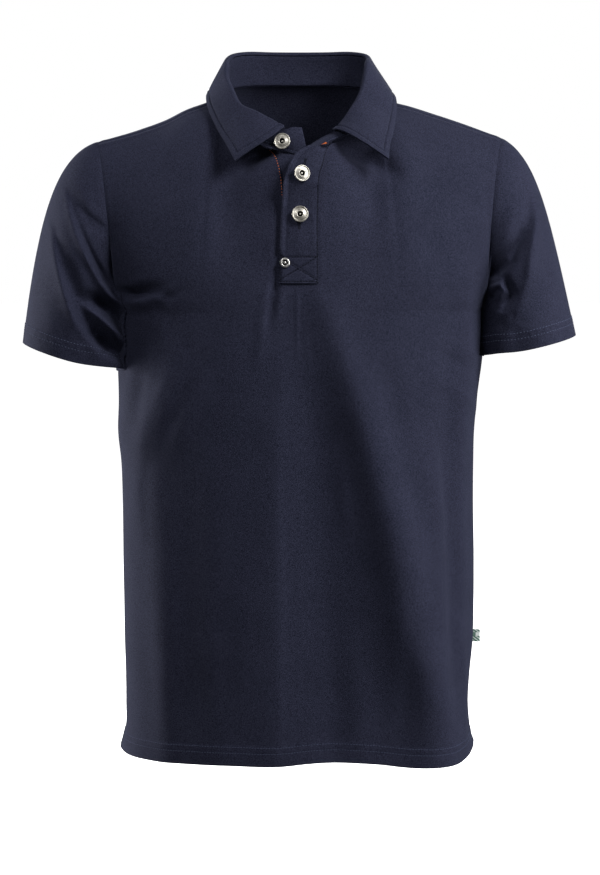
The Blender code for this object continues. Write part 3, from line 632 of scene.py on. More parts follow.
def panel_grid(back, folds):
    """The finished grid of the front or the back, with its hem and the relief of its seams."""
    half = spread((SLIT_SHARE, NECK_POINT, 26), (NECK_POINT, CLOSE_TO_SIDE, 44), (CLOSE_TO_SIDE, 1.0, 8))
    slit = spread((-SLIT_SHARE, SLIT_SHARE, 20))
    shares = np.concatenate([-half[::-1], slit[1:-1], half])
    rises = spread((0.0, CLOSE_TO_HEM, 22), (CLOSE_TO_HEM, 1.0, 104), (1.0, 1 + SLIT_FOOT, 15),
                   (1 + SLIT_FOOT, CLOSE_TO_TOP, 36), (CLOSE_TO_TOP, 2.0, 12))
    grid = panel(shares, rises, back, folds)
    if back:
        grid, shares = grid[:, ::-1], shares[::-1]
    from_hem, from_top = run_from_foot(grid), run_from_top(grid)
    from_side = np.minimum(run_from_left(grid), run_from_right(grid))
    side_seam = seam_relief(from_side) * ease(34, 48, from_hem)
    side_seam = side_seam * np.where(rises > 1, ARMHOLE_SEAM_SHARE, 1)[:, None]
    past_neck = ease(NECK_POINT - 0.02, NECK_POINT + 0.04, np.abs(shares))
    lift = hem_relief(from_hem, run_from_left(grid)) + side_seam + seam_relief(from_top) * past_neck
    x, z = grid[..., 0], grid[..., 2]
    across, bend, up = UNEVEN_WAVES
    uneven = UNEVEN_HEIGHT * np.sin(x / across + 1.3 * np.sin(z / bend)) * np.sin(z / up)
    lift = lift + uneven * ease(0, UNEVEN_FROM_EDGE, from_side) * ease(0, UNEVEN_FROM_EDGE, from_top)
    grid = grid + grid_normals(grid) * lift[..., None]
    gap = SEAM_GAP if back else -SEAM_GAP
    side = (np.abs(shares) > 0.999) & (rises <= 1)[:, None]
    shoulder = (np.abs(shares) >= NECK_POINT - 1e-6) & (rises > 1.999)[:, None]
    corner = np.maximum(0.0, np.abs(shares) - VENT_FROM) / (1 - VENT_FROM)
    grid[..., 1] += np.where(side, gap * SIDE_PULL, 0.0)
    grid[..., 1] += np.where(shoulder, gap * (SHOULDER_PULL - SHOULDER_PULL_LOSS * corner), 0.0)
    return grid, shares, rises


front_grid, front_shares, front_rises = panel_grid(False, FRONT_FOLDS + FRONT_CREASES)
in_slit = (np.abs(front_shares[:-1] + front_shares[1:]) < 2 * SLIT_SHARE)[None, :]
above_foot = (front_rises[:-1] >= 1 + SLIT_FOOT - 1e-6)[:, None]
front_cloth = cloth_piece("front_cloth", front_grid, BODY_CLOTH, navy_pique, keep=~(in_slit & above_foot))
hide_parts("front_panel")
back_grid, _, _ = panel_grid(True, BACK_FOLDS + BACK_CREASES)
back_cloth = cloth_piece("back_cloth", back_grid, BODY_CLOTH, navy_pique)
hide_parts("back_panel")


# The sleeves are one piece of the pique each, seamed under the arm and sewn into the armhole. Each is a
# tube that runs from the armhole to its hem ring and creases in front where the arm meets the chest.

# How the hem ring lies, and what the outer side adds to the handles: out and up above, out at the hem.
SLEEVES = {
    "left": dict(side=-1, hem_in=(-201, -300), hem_out=(-301, -269), crown=(5, 4, 0)),
    "right": dict(side=1, hem_in=(203, -284), hem_out=(301.5, -261), crown=(-4, -1, -12)),
}
SLEEVE_DEPTH = 64
SLEEVE_MIDDLE = -4
SLEEVE_GIRTH = 420
# Share of the ring from the underarm by the front, then out, forward, up at the armhole and at the hem.
SLEEVE_HANDLES = (
    (0.00, 10, 0, -12, 3, 0, 30),
    (0.13, 12, 6, -18, -4, 4, 42),
    (0.25, 26, 12, -14, -12, 8, 60),
    (0.38, 38, 6, -12, -16, 6, 90),
    (0.50, 44, 0, -14, -15, 0, 119),
    (0.62, 38, -6, -12, -16, -6, 90),
    (0.75, 26, -12, -14, -12, -8, 60),
    (0.87, 12, -6, -18, -4, -4, 42),
    (1.00, 10, 0, -12, 3, 0, 30),
)
SLEEVE_SEAM_GAP = 0.3 * SEAM_GAP
SIDE_CLEARANCE = 0.7
SIDE_CLEARANCE_FROM = UNDERARM_LEVEL + 30.0
SIDE_CLEARANCE_RUN = 40.0
FAR_OUT = 400.0
# How far the sleeve's inner front is drawn in over the body's side, and how far it swells forward.
TUCK_IN = {"left": 42.0, "right": 15.0}
SWELL_FORWARD = {"left": 7.0, "right": 0.0}
TUCK_GROWS = 1 / 3
TUCK_AT, TUCK_WIDTH = 0.10, 0.065
UNDERARM_TUCK, UNDERARM_WIDTH = 0.5, 0.07
SLEEVE_FOLDS = {
    "left": (
        (((-251, -106), (-242, -135), (-225, -172), (-211, -204), (-200, -218), (-184, -230)), 7.0, 5, 0.35),
        (((-234, -147), (-219, -177), (-207, -198), (-198, -212)), -7.0, 4.2, 0),
        (((-239, -112), (-222, -140), (-203, -150)), -2.4, 6, 0),
        (((-265, -146), (-259, -174), (-253, -195), (-246, -220), (-237, -246), (-216, -276)),
         5.5, 5.5, 0.35),
        (((-234, -222), (-211, -242), (-192, -259), (-180, -272)), 6.0, 4.5, 0.3),
    ),
    "right": (
        (((249, -82), (254, -107), (253, -139), (246, -172), (243, -199), (232, -232)), 6.5, 7, -0.2),
        (((248, -124), (232, -160), (212, -184), (194, -200)), -8.5, 9, 0),
        (((197, -216), (206, -209), (214, -206), (218, -212), (213, -221)), 6.0, 3.2, 0),
    ),
}
SLEEVE_CREASES = {
    "left": (
        (((-238, -96), (-222, -124), (-204, -142)), 0.8, 5, 0),
        (((-234, -124), (-216, -137), (-204, -146)), -1.2, 3, 0),
        (((-246, -188), (-234, -222), (-220, -250), (-204, -270)), -6.5, 8, 0),
        (((-222, -218), (-206, -228), (-186, -248)), -15.0, 7, 0),
        (((-216, -258), (-200, -272), (-184, -288)), -16.0, 8, 0),
        (((-278, -232), (-250, -225), (-210, -219)), -0.8, 1.6, 0),
        (((-252, -104), (-245, -128), (-234, -150)), -2.8, 7, 0),
        (((-258, -116), (-250, -146), (-234, -182), (-220, -212), (-206, -232)), 3.2, 9, 0),
        (((-272, -150), (-266, -180), (-260, -202), (-253, -228), (-244, -254)), 2.6, 9, 0),
        (((-272, -190), (-266, -230), (-262, -262)), 1.0, 9, 0),
        (((-246, -250), (-238, -270), (-226, -290)), 1.2, 7, 0),
        (((-246, -122), (-229, -165), (-213, -200), (-201, -217), (-182, -231)), 2.6, 3.0, 0.2),
        (((-262, -160), (-253, -196), (-246, -221), (-238, -246)), 2.0, 3.0, 0.2),
        (((-226, -230), (-210, -242), (-192, -259)), 2.2, 3.0, 0.2),
    ),
    "right": (
        (((212, -128), (222, -118), (236, -112)), -1.6, 6, 0),
        (((204, -214), (209, -221)), -6.0, 3.4, 0),
        (((219, -198), (226, -213), (217, -231)), -8.0, 4.2, 0),
        (((238, -150), (226, -178), (210, -192), (196, -199)), -6.0, 5, 0),
        (((216, -236), (214, -256)), -3.0, 7, 0),
        (((262, -130), (266, -180), (262, -236)), -1.2, 10, 0),
        (((224, -244), (240, -252), (256, -254)), 1.0, 6, 0),
    ),
}
# Where the sleeve's front sinks or swells beside the body's side.
BESIDE_BODY = {
    "left": (((-197, -214), (-190, -240), (-187, -270), (-186, -330)), -7.0, 6, 0),
    "right": (((214, -206), (216, -230), (217, -262), (214, -330)), 7.0, 12, -0.2),
}
SLEEVE_BACK_CREASES = {
    "left": (
        (((-210, -116), (-236, -160), (-250, -214)), 2.8, 9, 0.2),
        (((-206, -150), (-224, -196), (-232, -246)), -3.0, 9, 0),
        (((-204, -190), (-216, -226), (-222, -262)), 2.2, 7, 0),
    ),
    "right": (
        (((212, -118), (240, -164), (252, -220)), 2.6, 9, -0.2),
        (((208, -156), (226, -200), (234, -244)), -2.8, 9, 0),
        (((206, -196), (218, -232), (226, -264)), 2.0, 7, 0),
    ),
}


def surface_of(grid):
    """A grid of points as something to cast rays at, in millimetres."""
    return BVHTree.FromPolygons(grid.reshape(-1, 3).tolist(), grid_quads(grid).reshape(-1, 4).tolist())


front_surface = surface_of(front_grid)
back_surface = surface_of(back_grid)


def body_reach(side, y, z):
    """How far out the body's side reaches at a place beside it, folds and all."""
    start, inward = Vector((side * FAR_OUT, y, z)), Vector((-side, 0.0, 0.0))
    hits = [surface.ray_cast(start, inward)[0] for surface in (front_surface, back_surface)]
    return max((side * hit.x for hit in hits if hit), default=0.0)


def sleeve_grid(name):
    """A sleeve's outer face, rows from the hem up to the armhole, columns around from the underarm."""
    form = SLEEVES[name]
    side = form["side"]
    front_rises = spread((0.0, 0.08, 6), (0.08, 0.98, 118), (0.98, 1.0, 1))
    back_rises = spread((0.0, 0.08, 5), (0.08, 0.98, 60), (0.98, 1.0, 1))
    turns = np.concatenate([front_rises / 2, 1 - back_rises[-2::-1] / 2])
    downs = spread((0.0, 0.05, 7), (0.05, 0.89, 84), (0.89, 1.0, 22))
    up_front = panel([side * 1.0], 1 + front_rises, False, ())
    up_back = panel([side * 1.0], 1 + back_rises, True, ())
    seam = np.concatenate([up_front[:, 0], up_back[-2::-1, 0]])
    angle = 2 * np.pi * turns
    out_share = (1 - np.cos(angle)) / 2
    inner, outer = np.array(form["hem_in"], float), np.array(form["hem_out"], float)
    across = inner + (outer - inner) * out_share[:, None]
    end = np.stack([across[:, 0], SLEEVE_MIDDLE - SLEEVE_DEPTH * np.sin(angle), across[:, 1]], -1)
    handle = table_at(SLEEVE_HANDLES, turns)
    for column, more in zip((0, 2, 3), form["crown"]):
        handle[:, column] += more * out_share ** 2
    way = np.array((side, -1.0, 1.0))
    lead = handle[:, :3] * way
    start = seam + unit(lead) * SLEEVE_SEAM_GAP
    grid = np.array([bezier(start, start + lead, end + handle[:, 3:] * way, end, down) for down in downs])
    free = np.clip(downs / TUCK_GROWS, 0, 1)[:, None]
    inner_front = bump(turns - TUCK_AT, TUCK_WIDTH)
    drawn = inner_front + UNDERARM_TUCK * bump(np.minimum(turns, 1 - turns), UNDERARM_WIDTH)
    grid[..., 0] -= side * TUCK_IN[name] * free * drawn
    grid[..., 1] -= SWELL_FORWARD[name] * free * inner_front
    x, z = grid[..., 0], grid[..., 2]
    swing = (ease(0.0, 0.05, downs) * (1 - 0.8 * ease(0.86, 1.0, downs)))[:, None]
    front = (ease(0.03, 0.11, turns) * (1 - ease(0.38, 0.5, turns)))[None, :]
    behind = np.where(turns > 0.5, -np.sin(2 * np.pi * turns), 0.0)[None, :]
    front_fold = fold_height(SLEEVE_FOLDS[name] + SLEEVE_CREASES[name], x, z) * swing * front
    beside_body = fold_height((BESIDE_BODY[name],), x, z)
    front_fold = front_fold + beside_body * ease(0.0, 0.15, downs)[:, None] * front
    back_fold = fold_height(SLEEVE_BACK_CREASES[name], x, z) * swing * behind
    tilt = 0.25 * side * -np.cos(angle)
    for fold, depth in ((front_fold, -1.0), (back_fold, 1.0)):
        facing = unit(np.stack([tilt, np.full(tilt.shape, depth), np.full(tilt.shape, 0.2)], -1))
        grid = grid + facing[None] * fold[..., None]
    grid = grid[::-1]
    if side < 0:
        grid, turns = grid[:, ::-1], turns[::-1]
    normals = grid_normals(grid)
    from_hem = run_from_foot(grid)
    from_armhole = run_from_top(grid)
    lift = hem_relief(from_hem, turns * SLEEVE_GIRTH) + 0.3 * seam_relief(from_armhole)
    underarm_seam = 0.7 * seam_relief(np.minimum(turns, 1 - turns) * SLEEVE_GIRTH)
    lift = lift + underarm_seam * ease(0, 12, from_armhole)
    moved = grid + normals * lift[..., None]
    ups = downs[::-1]
    for row, column in np.argwhere((moved[..., 2] < SIDE_CLEARANCE_FROM) & (ups[:, None] > 0)):
        x, y, z = moved[row, column]
        near = min(1.0, (SIDE_CLEARANCE_FROM - z) / SIDE_CLEARANCE_RUN, 5 * ups[row])
        least = body_reach(side, y, z) + SLEEVE_SEAM_GAP + (SIDE_CLEARANCE - SLEEVE_SEAM_GAP) * near
        moved[row, column, 0] = side * max(side * x, least)
    moved[:, -1] = moved[:, 0]
    return moved


sleeve_grids = {}
for sleeve_name in SLEEVES:
    sleeve_grids[sleeve_name] = sleeve_grid(sleeve_name)
    sleeve = cloth_piece(f"sleeve_{sleeve_name}_cloth", sleeve_grids[sleeve_name], BODY_CLOTH, navy_pique,
                         closed=True)
    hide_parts(f"sleeve_{sleeve_name}")


# The collar is a stand sewn to the neck edge and a leaf that is caught in its top and rolls over it.
# Both are two layers of the pique. The left front end stands up square, and the right one falls open.

STAND_CLOTH = 2.2
LEAF_CLOTH = 2.0
LEAF_SOLID = 2.2
LEAF_FROM, LEAF_TO = 2, 23
STAND_BULGE = 1.2
STAND_UPRIGHT = 0.3
LEANING_RAISE = (2.0, 1.6)
ROLL_RADIUS = 3.4
ROLL_END_RADIUS = 2.9
ROLL_GAP = (SEAM_GAP + 0.6, 0.5)
ROLL_SHARE = 0.16
LEAF_FRONT_ENDS = 3.0
LEAF_FRONT_LIFT = (5.0, 12.0)
LEAF_EDGE_LIFT = (8.0, 11.0)
LEAF_BULGE = 1.2
# How the leaf leaves its roll: least slope, share of the turn, share that the front ends skip, handles.
LEAF_LEAST_FALL = 2.0
LEAF_TURN_SHARE = 0.8
LEAF_STRAIGHT_SHARE = 0.7
LEAF_FIRST_HANDLE, LEAF_SECOND_HANDLE = 0.3, 0.33
LEAF_END_SPREAD = 1.4
LEAF_STITCH = 6.5
STAND_STITCH = 2.4
LEAF_EDGE = (
    (-66.7, -98, -76),
    (-70.5, -95, -68.5),
    (-76, -86, -58),
    (-84, -72, -45),
    (-93, -49, -28),
    (-98.5, -28, -14),
    (-100.5, -6, -4.5),
    (-100, 16, -1),
    (-94, 42, 0),
    (-72, 64, 0),
    (-40, 78, -1),
    (0, 83, -2),
    (40, 78, -1),
    (72, 64, 0),
    (94, 42, 0),
    (104, 16, -3),
    (105, -8, -6.5),
    (105, -28, -16.5),
    (102.5, -50, -32),
    (98.5, -72, -48),
    (95, -86, -61),
    (93.5, -97, -75),
)


def stand_frame(places):
    """Along the stand: its neck edge, top edge, the way up and the way out."""
    places = np.asarray(places, float)
    row = station(STAND, places)
    neck, top = row[:, :3], row[:, 3:]
    ahead = station(STAND, np.minimum(places + 0.3, len(STAND) - 1))
    behind = station(STAND, np.maximum(places - 0.3, 0))
    along = (ahead[:, :3] + ahead[:, 3:] - behind[:, :3] - behind[:, 3:]) / 2
    up = unit(top - neck)
    return neck, top, up, unit(np.cross(up, along))


def stand_grid(places, rises):
    """The stand's outer face, rows from the neck edge up."""
    neck, top, up, out = stand_frame(places)
    leaning = np.maximum(0, up[:, 1] - STAND_UPRIGHT)[:, None]
    foot = neck + up * (SEAM_GAP + LEANING_RAISE[0] * leaning)
    rows = []
    for rise in rises:
        bulge = STAND_BULGE * math.sin(math.pi * rise) * (1 - leaning)
        rows.append(foot + (top - foot) * rise + out * (bulge + LEANING_RAISE[1] * leaning))
    return np.array(rows)


def leaf_grid(places, falls):
    """Rows from inside the stand's top over the roll and down to the leaf's edge."""
    places = np.asarray(places, float)
    _, top, up, out = stand_frame(places)
    edge = station(LEAF_EDGE, places - LEAF_FROM)
    on_left = places < sum(NECK_POINT_STATIONS) / 2
    from_end = np.minimum(places - LEAF_FROM, LEAF_TO - places)[:, None]
    front_end = np.maximum(0, 1 - from_end / LEAF_FRONT_ENDS)
    radius = ROLL_RADIUS + (ROLL_END_RADIUS - ROLL_RADIUS) * front_end
    centre = top + out * (radius - LEAF_SOLID) + up * (ROLL_GAP[0] + ROLL_GAP[1] * front_end)
    forward = np.array((0.0, -1.0, 0.2))
    edge = edge + forward * front_end * np.where(on_left, *LEAF_EDGE_LIFT)[:, None]
    drop = edge - centre
    away, down = (drop * out).sum(-1), -(drop * up).sum(-1)
    away, down = np.maximum(away, LEAF_LEAST_FALL), np.maximum(down, LEAF_LEAST_FALL)
    last = (np.arctan2(away, down) * LEAF_TURN_SHARE)[:, None]
    start = centre + radius * (np.cos(last) * out + np.sin(last) * up)
    heading = np.sin(last) * out - np.cos(last) * up
    reach = np.linalg.norm(edge - start, axis=-1, keepdims=True)
    straight = (edge - start) / reach
    lift = np.where(on_left, *LEAF_FRONT_LIFT)[:, None]
    skipped = LEAF_STRAIGHT_SHARE * front_end
    first = start + (heading * (1 - skipped) + straight * skipped) * reach * LEAF_FIRST_HANDLE
    first = first + out * LEAF_END_SPREAD * lift * front_end
    second = edge - straight * reach * LEAF_SECOND_HANDLE
    second = second + out * LEAF_BULGE + forward * lift * front_end
    rows = []
    for fall in falls:
        if fall <= ROLL_SHARE:
            angle = math.pi + (last - math.pi) * fall / ROLL_SHARE
            rows.append(centre + radius * (np.cos(angle) * out + np.sin(angle) * up))
        else:
            rows.append(bezier(start, first, second, edge, (fall - ROLL_SHARE) / (1 - ROLL_SHARE)))
    return np.array(rows)


def stitched_relief(distance, row, proud=0.35, dip=0.55):
    """Cloth between an edge and its topstitching puffs up, and dips under the thread."""
    return proud * bump(distance - row / 2, row / 2.6) - dip * bump(distance - row, 0.9)


stand_places = spread((0, len(STAND) - 1, 6 * (len(STAND) - 1)))
collar_stand_grid = stand_grid(stand_places, spread((0, 1, 18)))[:, ::-1]
stand_lift = stitched_relief(run_from_foot(collar_stand_grid), STAND_STITCH, 0.2)
stand_lift = stand_lift + stitched_relief(run_from_top(collar_stand_grid), 3.0, 0.2)
collar_stand_grid = collar_stand_grid + grid_normals(collar_stand_grid) * stand_lift[..., None]
collar_stand = cloth_piece("collar_stand_cloth", collar_stand_grid, STAND_CLOTH, navy_pique)
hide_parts("collar_stand")

leaf_places = spread((LEAF_FROM, LEAF_FROM + 1.2, 20), (LEAF_FROM + 1.2, LEAF_TO - 1.2, 112),
                     (LEAF_TO - 1.2, LEAF_TO, 20))
leaf_falls = spread((0, ROLL_SHARE, 12), (ROLL_SHARE, 0.75, 22), (0.75, 1, 20))
collar_leaf_grid = leaf_grid(leaf_places, leaf_falls)[::-1, ::-1]
from_ends = np.minimum(run_from_left(collar_leaf_grid), run_from_right(collar_leaf_grid))
from_edge = np.minimum(run_from_foot(collar_leaf_grid), from_ends)
puckers = 0.22 * np.sin(run_from_left(collar_leaf_grid) / 1.7) * bump(from_edge - 4.5, 3.0)
leaf_lift = stitched_relief(from_edge, LEAF_STITCH, 0.14, 0.75) + puckers
collar_leaf_grid = collar_leaf_grid + grid_normals(collar_leaf_grid) * leaf_lift[..., None]
collar_leaf = cloth_piece("collar_leaf_cloth", collar_leaf_grid, LEAF_CLOTH, navy_pique)
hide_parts("collar_leaf")


# The two front bands are doubled strips of the pique. The buttonhole band lies on the front, its folded
# left edge free, sewn down the right side and in a crossed box at its foot. The button band is sewn
# behind the opening.

BAND_CLOTH = 1.3
BAND_DIP = 0.85
BAND_SOLID = 2.0
BODY_SOLID = 1.6
# Left edge x, y, z and right edge x, y, z of the outer face, from the neck down.
OVER_BAND = (
    (10.5, -101, -60.5, 34, -91, -56),
    (1.5, -104.5, -65, 30.5, -96, -62),
    (-4.5, -107, -69.5, 28.2, -100.5, -69),
    (-9.5, -110, -78, 26.0, -105.5, -78),
    (-13.4, -113, -88, 22.9, -110, -88),
    (-16.9, -116, -99, 21.3, -113.5, -99),
)
OVER_OPEN_SHARE = 0.42
OVER_CUP = 5.0
OVER_FOOT = -201.0
OVER_LEFT, OVER_RIGHT = -21.0, 20.5
UNDER_TOP = (-34, -60.6, 10, -72.4)
UNDER_FOOT = -199.0
UNDER_LEFT, UNDER_RIGHT = -23.0, 19.0
UNDER_TAPER = 0.3
UNDER_DROP = BODY_SOLID + SEAM_GAP + 1.2
OVER_STITCH_RIGHT = 1.6
FOLD_RISE = 2.3
# The crossed box of stitches at the band's foot.
BOX_LEFT, BOX_RIGHT = -19.6, 19.2
BOX_FOOT, BOX_TOP = -199.6, -173.5
CROSS_FOOT = -198.0

navy_band = pique("navy band", (0.0066, 0.0075, 0.0153), (0.0248, 0.0268, 0.0478), cells=0.3)


def front_depth(x, level):
    """How far forward the front's outer face is at places near the centre line."""
    depths = []
    for across, up in zip(np.ravel(x), np.ravel(level)):
        hit = front_surface.ray_cast(Vector((across, -FAR_OUT, up)), Vector((0.0, 1.0, 0.0)))[0]
        depths.append(hit.y if hit else -100.0)
    return np.array(depths).reshape(np.shape(x))


def over_band_grid(across, downs):
    """The buttonhole band's outer face: columns run left to right, rows from the neck to the foot."""
    lift = SEAM_GAP + BAND_SOLID
    first = OVER_BAND[-1]
    rows = []
    for down in downs:
        if down <= OVER_OPEN_SHARE:
            row = station(OVER_BAND, down / OVER_OPEN_SHARE * (len(OVER_BAND) - 1))
            points = row[:3] + (row[3:] - row[:3]) * across[:, None]
            points[:, 1] -= OVER_CUP * np.sin(np.pi * across) * (1 - down / OVER_OPEN_SHARE)
            held = np.minimum(points[:, 1], front_depth(points[:, 0], points[:, 2]) - lift)
            points[:, 1] = np.where(across > 0.5, held, points[:, 1])
        else:
            share = (down - OVER_OPEN_SHARE) / (1 - OVER_OPEN_SHARE)
            level = first[2] + (OVER_FOOT - first[2]) * share
            eased = min(1.0, share * 3)
            left = first[0] + (OVER_LEFT - first[0]) * share
            right = first[3] + (OVER_RIGHT - first[3]) * eased
            x = left + (right - left) * across
            flat = front_depth(x, np.full(x.shape, level)) - lift
            start = first[1] + (first[4] - first[1]) * across
            points = np.stack([x, start * (1 - eased) + flat * eased, np.full(x.shape, level)], -1)
        rows.append(points)
    return np.array(rows)


def under_band_grid(across, downs):
    """The button band's outer face, which lies behind the front's and the other band's inner faces."""
    top_left_x, top_left_z, top_right_x, top_right_z = UNDER_TOP
    rows = []
    for down in downs:
        taper = min(1.0, down / UNDER_TAPER)
        left_x = top_left_x + (UNDER_LEFT - top_left_x) * taper ** 0.8
        right_x = top_right_x + (UNDER_RIGHT - top_right_x) * taper
        left_z = top_left_z + (UNDER_FOOT - top_left_z) * down
        right_z = top_right_z + (UNDER_FOOT - top_right_z) * down
        x = left_x + (right_x - left_x) * across
        level = left_z + (right_z - left_z) * across
        rows.append(np.stack([x, front_depth(x, level) + UNDER_DROP, level], -1))
    return np.array(rows)


over_across = spread((0.0, 0.12, 8), (0.12, 0.86, 40), (0.86, 1.0, 8))
over_downs = spread((0, OVER_OPEN_SHARE, 44), (OVER_OPEN_SHARE, 0.7, 40), (0.7, 1, 64))
over_plain = over_band_grid(over_across, over_downs)[::-1]
from_left = run_from_left(over_plain)
from_right = run_from_right(over_plain)
from_foot = run_from_foot(over_plain)
rolled = ease(BOX_TOP - 2.0, BOX_TOP + 10.0, over_plain[..., 2])
over_lift = rolled * (FOLD_RISE * bump(from_left - 1.0, 2.8) - 0.35 * bump(from_left - 6.2, 1.4))
over_lift = over_lift + stitched_relief(from_right, OVER_STITCH_RIGHT, 0.15)
over_lift = over_lift + stitched_relief(from_foot, 1.4, 0.1) - 0.7 * bump(from_foot - 27.0, 1.2)
box_crosses = (
    ((BOX_LEFT, CROSS_FOOT), (BOX_RIGHT, BOX_TOP)),
    ((BOX_LEFT, BOX_TOP), (BOX_RIGHT, CROSS_FOOT)),
)
cross_dips = [(line, -0.9, 1.3, 0) for line in box_crosses]
over_lift = over_lift + fold_height(cross_dips, over_plain[..., 0], over_plain[..., 2])
uneven = 0.25 * np.sin(over_plain[..., 2] / 9.0 + over_plain[..., 0] / 13.0)
over_lift = over_lift + uneven * ease(0, 8, from_left)
over_lift = np.maximum(over_lift, -BAND_DIP)
over_grid = over_plain + grid_normals(over_plain) * over_lift[..., None]
placket_over = cloth_piece("placket_over_cloth", over_grid, BAND_CLOTH, navy_band)
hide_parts("placket_over")
under_grid = under_band_grid(spread((0, 1, 24)), spread((0, 1, 70)))[::-1]
placket_under = cloth_piece("placket_under_cloth", under_grid, BAND_CLOTH, navy_band)
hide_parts("placket_under")


# The seams and hems are sewn with polyester thread: twin rows around the hems, a row inside the
# collar's edge and along the bands, and one coloured row down the edge of the neck opening.


def thread_look(name, colour, light):
    """A material of plied polyester thread."""
    made, shader, _, place = new_look(name, 0.7)
    shader.inputs["Specular IOR Level"].default_value = 0.08
    ply = place.grain(1500.0, detail=1.0)
    ply.blend(colour, light).feed(shader, "Base Color")
    ply.raise_in(shader, 0.4, 0.0001)
    return made


navy_thread = thread_look("navy thread", (0.024, 0.029, 0.056), (0.050, 0.060, 0.105))
light_thread = thread_look("light thread", (0.034, 0.042, 0.075), (0.075, 0.090, 0.145))
dark_thread = thread_look("dark thread", (0.0035, 0.0040, 0.0080), (0.009, 0.010, 0.018))
orange_thread = thread_look("orange thread", (0.40, 0.085, 0.018), (0.62, 0.16, 0.04))

STITCH_SIDES = 6
# Share of a stitch's length and of its radius.
STITCH_RINGS = ((0.16, 0.85), (0.5, 1.0), (0.84, 0.85))


def place_along(run, points, distance):
    """The point, or the normal, that a path has after a distance."""
    return np.array([np.interp(distance, run, points[:, axis]) for axis in range(3)])


def stitches(name, look, rows, pitch=3.0, length=2.2, radius=0.28, sink=0.35):
    """Rows of short rounded stitches along (points, normals) paths, as one mesh."""
    turns = [2 * math.pi * number / STITCH_SIDES for number in range(STITCH_SIDES)]
    vertices, faces = [], []
    for points, normals in rows:
        steps = np.linalg.norm(np.diff(points, axis=0), axis=1)
        run = np.concatenate([[0], np.cumsum(steps)])
        count = max(1, int(run[-1] / pitch))
        for middle in (np.arange(count) + 0.5) * run[-1] / count:
            start = place_along(run, points, middle - length / 2)
            along = place_along(run, points, middle + length / 2) - start
            across = unit(np.cross(along, unit(place_along(run, normals, middle))))
            normal = unit(np.cross(across, along))
            base = len(vertices)
            vertices.append(start - normal * radius * sink * 2)
            for share, size in STITCH_RINGS:
                centre = start + along * share + normal * radius * (0.75 - sink)
                for angle in turns:
                    ring = across * math.cos(angle) * 1.15 + normal * math.sin(angle)
                    vertices.append(centre + ring * radius * size)
            vertices.append(start + along - normal * radius * sink * 2)
            last = len(vertices) - 1
            for number in range(STITCH_SIDES):
                after = (number + 1) % STITCH_SIDES
                faces.append((base, base + 1 + after, base + 1 + number))
                faces.append((last, last - STITCH_SIDES + number, last - STITCH_SIDES + after))
                for ring in range(len(STITCH_RINGS) - 1):
                    low = base + 1 + ring * STITCH_SIDES
                    high = low + STITCH_SIDES
                    faces.append((low + number, low + after, high + after, high + number))
    mesh = bpy.data.meshes.new(name)
    mesh.from_pydata((np.array(vertices) * MM).tolist(), [], faces)
    mesh.shade_smooth()
    mesh.materials.append(look)
    piece = linked(name, mesh)
    bpy.ops.object.mode_set(mode="EDIT")
    bpy.ops.mesh.select_all(action="SELECT")
    bpy.ops.mesh.normals_make_consistent(inside=False)
    bpy.ops.object.mode_set(mode="OBJECT")
    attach(piece, "root")


def row_at(grid, distance):
    """The points and normals where each column of a grid is a distance from its first row."""
    run = run_from_foot(grid)
    normals = grid_normals(grid)
    columns = range(grid.shape[1])
    points = np.stack([place_along(run[:, column], grid[:, column], distance) for column in columns])
    facing = np.stack([place_along(run[:, column], normals[:, column], distance) for column in columns])
    return points, facing


def turned_grid(grid):
    """The same grid with its rows and columns exchanged, still seen from outside."""
    return np.swapaxes(grid, 0, 1)[::-1]


hem_threads = [row_at(grid, distance) for grid in (front_grid, back_grid) for distance in HEM_ROWS]
stitches("hem_stitching", navy_thread, hem_threads)
cuff_threads = [row_at(grid, distance) for grid in sleeve_grids.values() for distance in HEM_ROWS]
stitches("sleeve_hem_stitching", light_thread, cuff_threads, pitch=3.6, length=1.9, radius=0.3)


def inner_loop(grid, inset):
    """A path a set distance inside a grid's foot and its two ends, from one top corner to the other."""
    low = np.argmin(np.abs(run_from_foot(grid) - inset), axis=0)
    first = np.argmin(np.abs(run_from_left(grid) - inset), axis=1)
    last = np.argmin(np.abs(run_from_right(grid) - inset), axis=1)
    top = grid.shape[0] - 1
    path = [(row, first[row]) for row in range(top, low[first[low[0]]], -1)]
    path += [(low[column], column) for column in range(first[low[0]], last[low[-1]] + 1)]
    path += [(row, last[row]) for row in range(low[last[low[-1]]] + 1, top + 1)]
    rows, columns = np.array(path).T
    return smoothed(grid[rows, columns]), smoothed(grid_normals(grid)[rows, columns])


def smoothed(points, rounds=3):
    """A path with its small corners evened out."""
    points = np.array(points, float)
    for _ in range(rounds):
        points[1:-1] = (points[:-2] + 2 * points[1:-1] + points[2:]) / 4
    return points


def on_grid(grid, shares):
    """Points and normals at (across, up) shares of a grid's columns and rows."""
    normals = grid_normals(grid)
    rows, columns = grid.shape[:2]
    points, facing = [], []
    for across, up in shares:
        row = min(int(up * (rows - 1)), rows - 2)
        column = min(int(across * (columns - 1)), columns - 2)
        s, t = up * (rows - 1) - row, across * (columns - 1) - column
        corner = ((1 - s) * (1 - t), (1 - s) * t, s * (1 - t), s * t)
        near = ((row, column), (row, column + 1), (row + 1, column), (row + 1, column + 1))
        points.append(sum(weight * grid[place] for weight, place in zip(corner, near)))
        facing.append(sum(weight * normals[place] for weight, place in zip(corner, near)))
    return np.array(points), unit(np.array(facing))


leaf_outside = collar_leaf_grid[: len(leaf_falls) - 14]
stitches("collar_stitching", dark_thread, [inner_loop(leaf_outside, LEAF_STITCH)], length=2.1)

stand_foot = row_at(collar_stand_grid, STAND_STITCH)
stitches("stand_stitching", navy_thread, [stand_foot], pitch=2.8, length=2.0, radius=0.22)


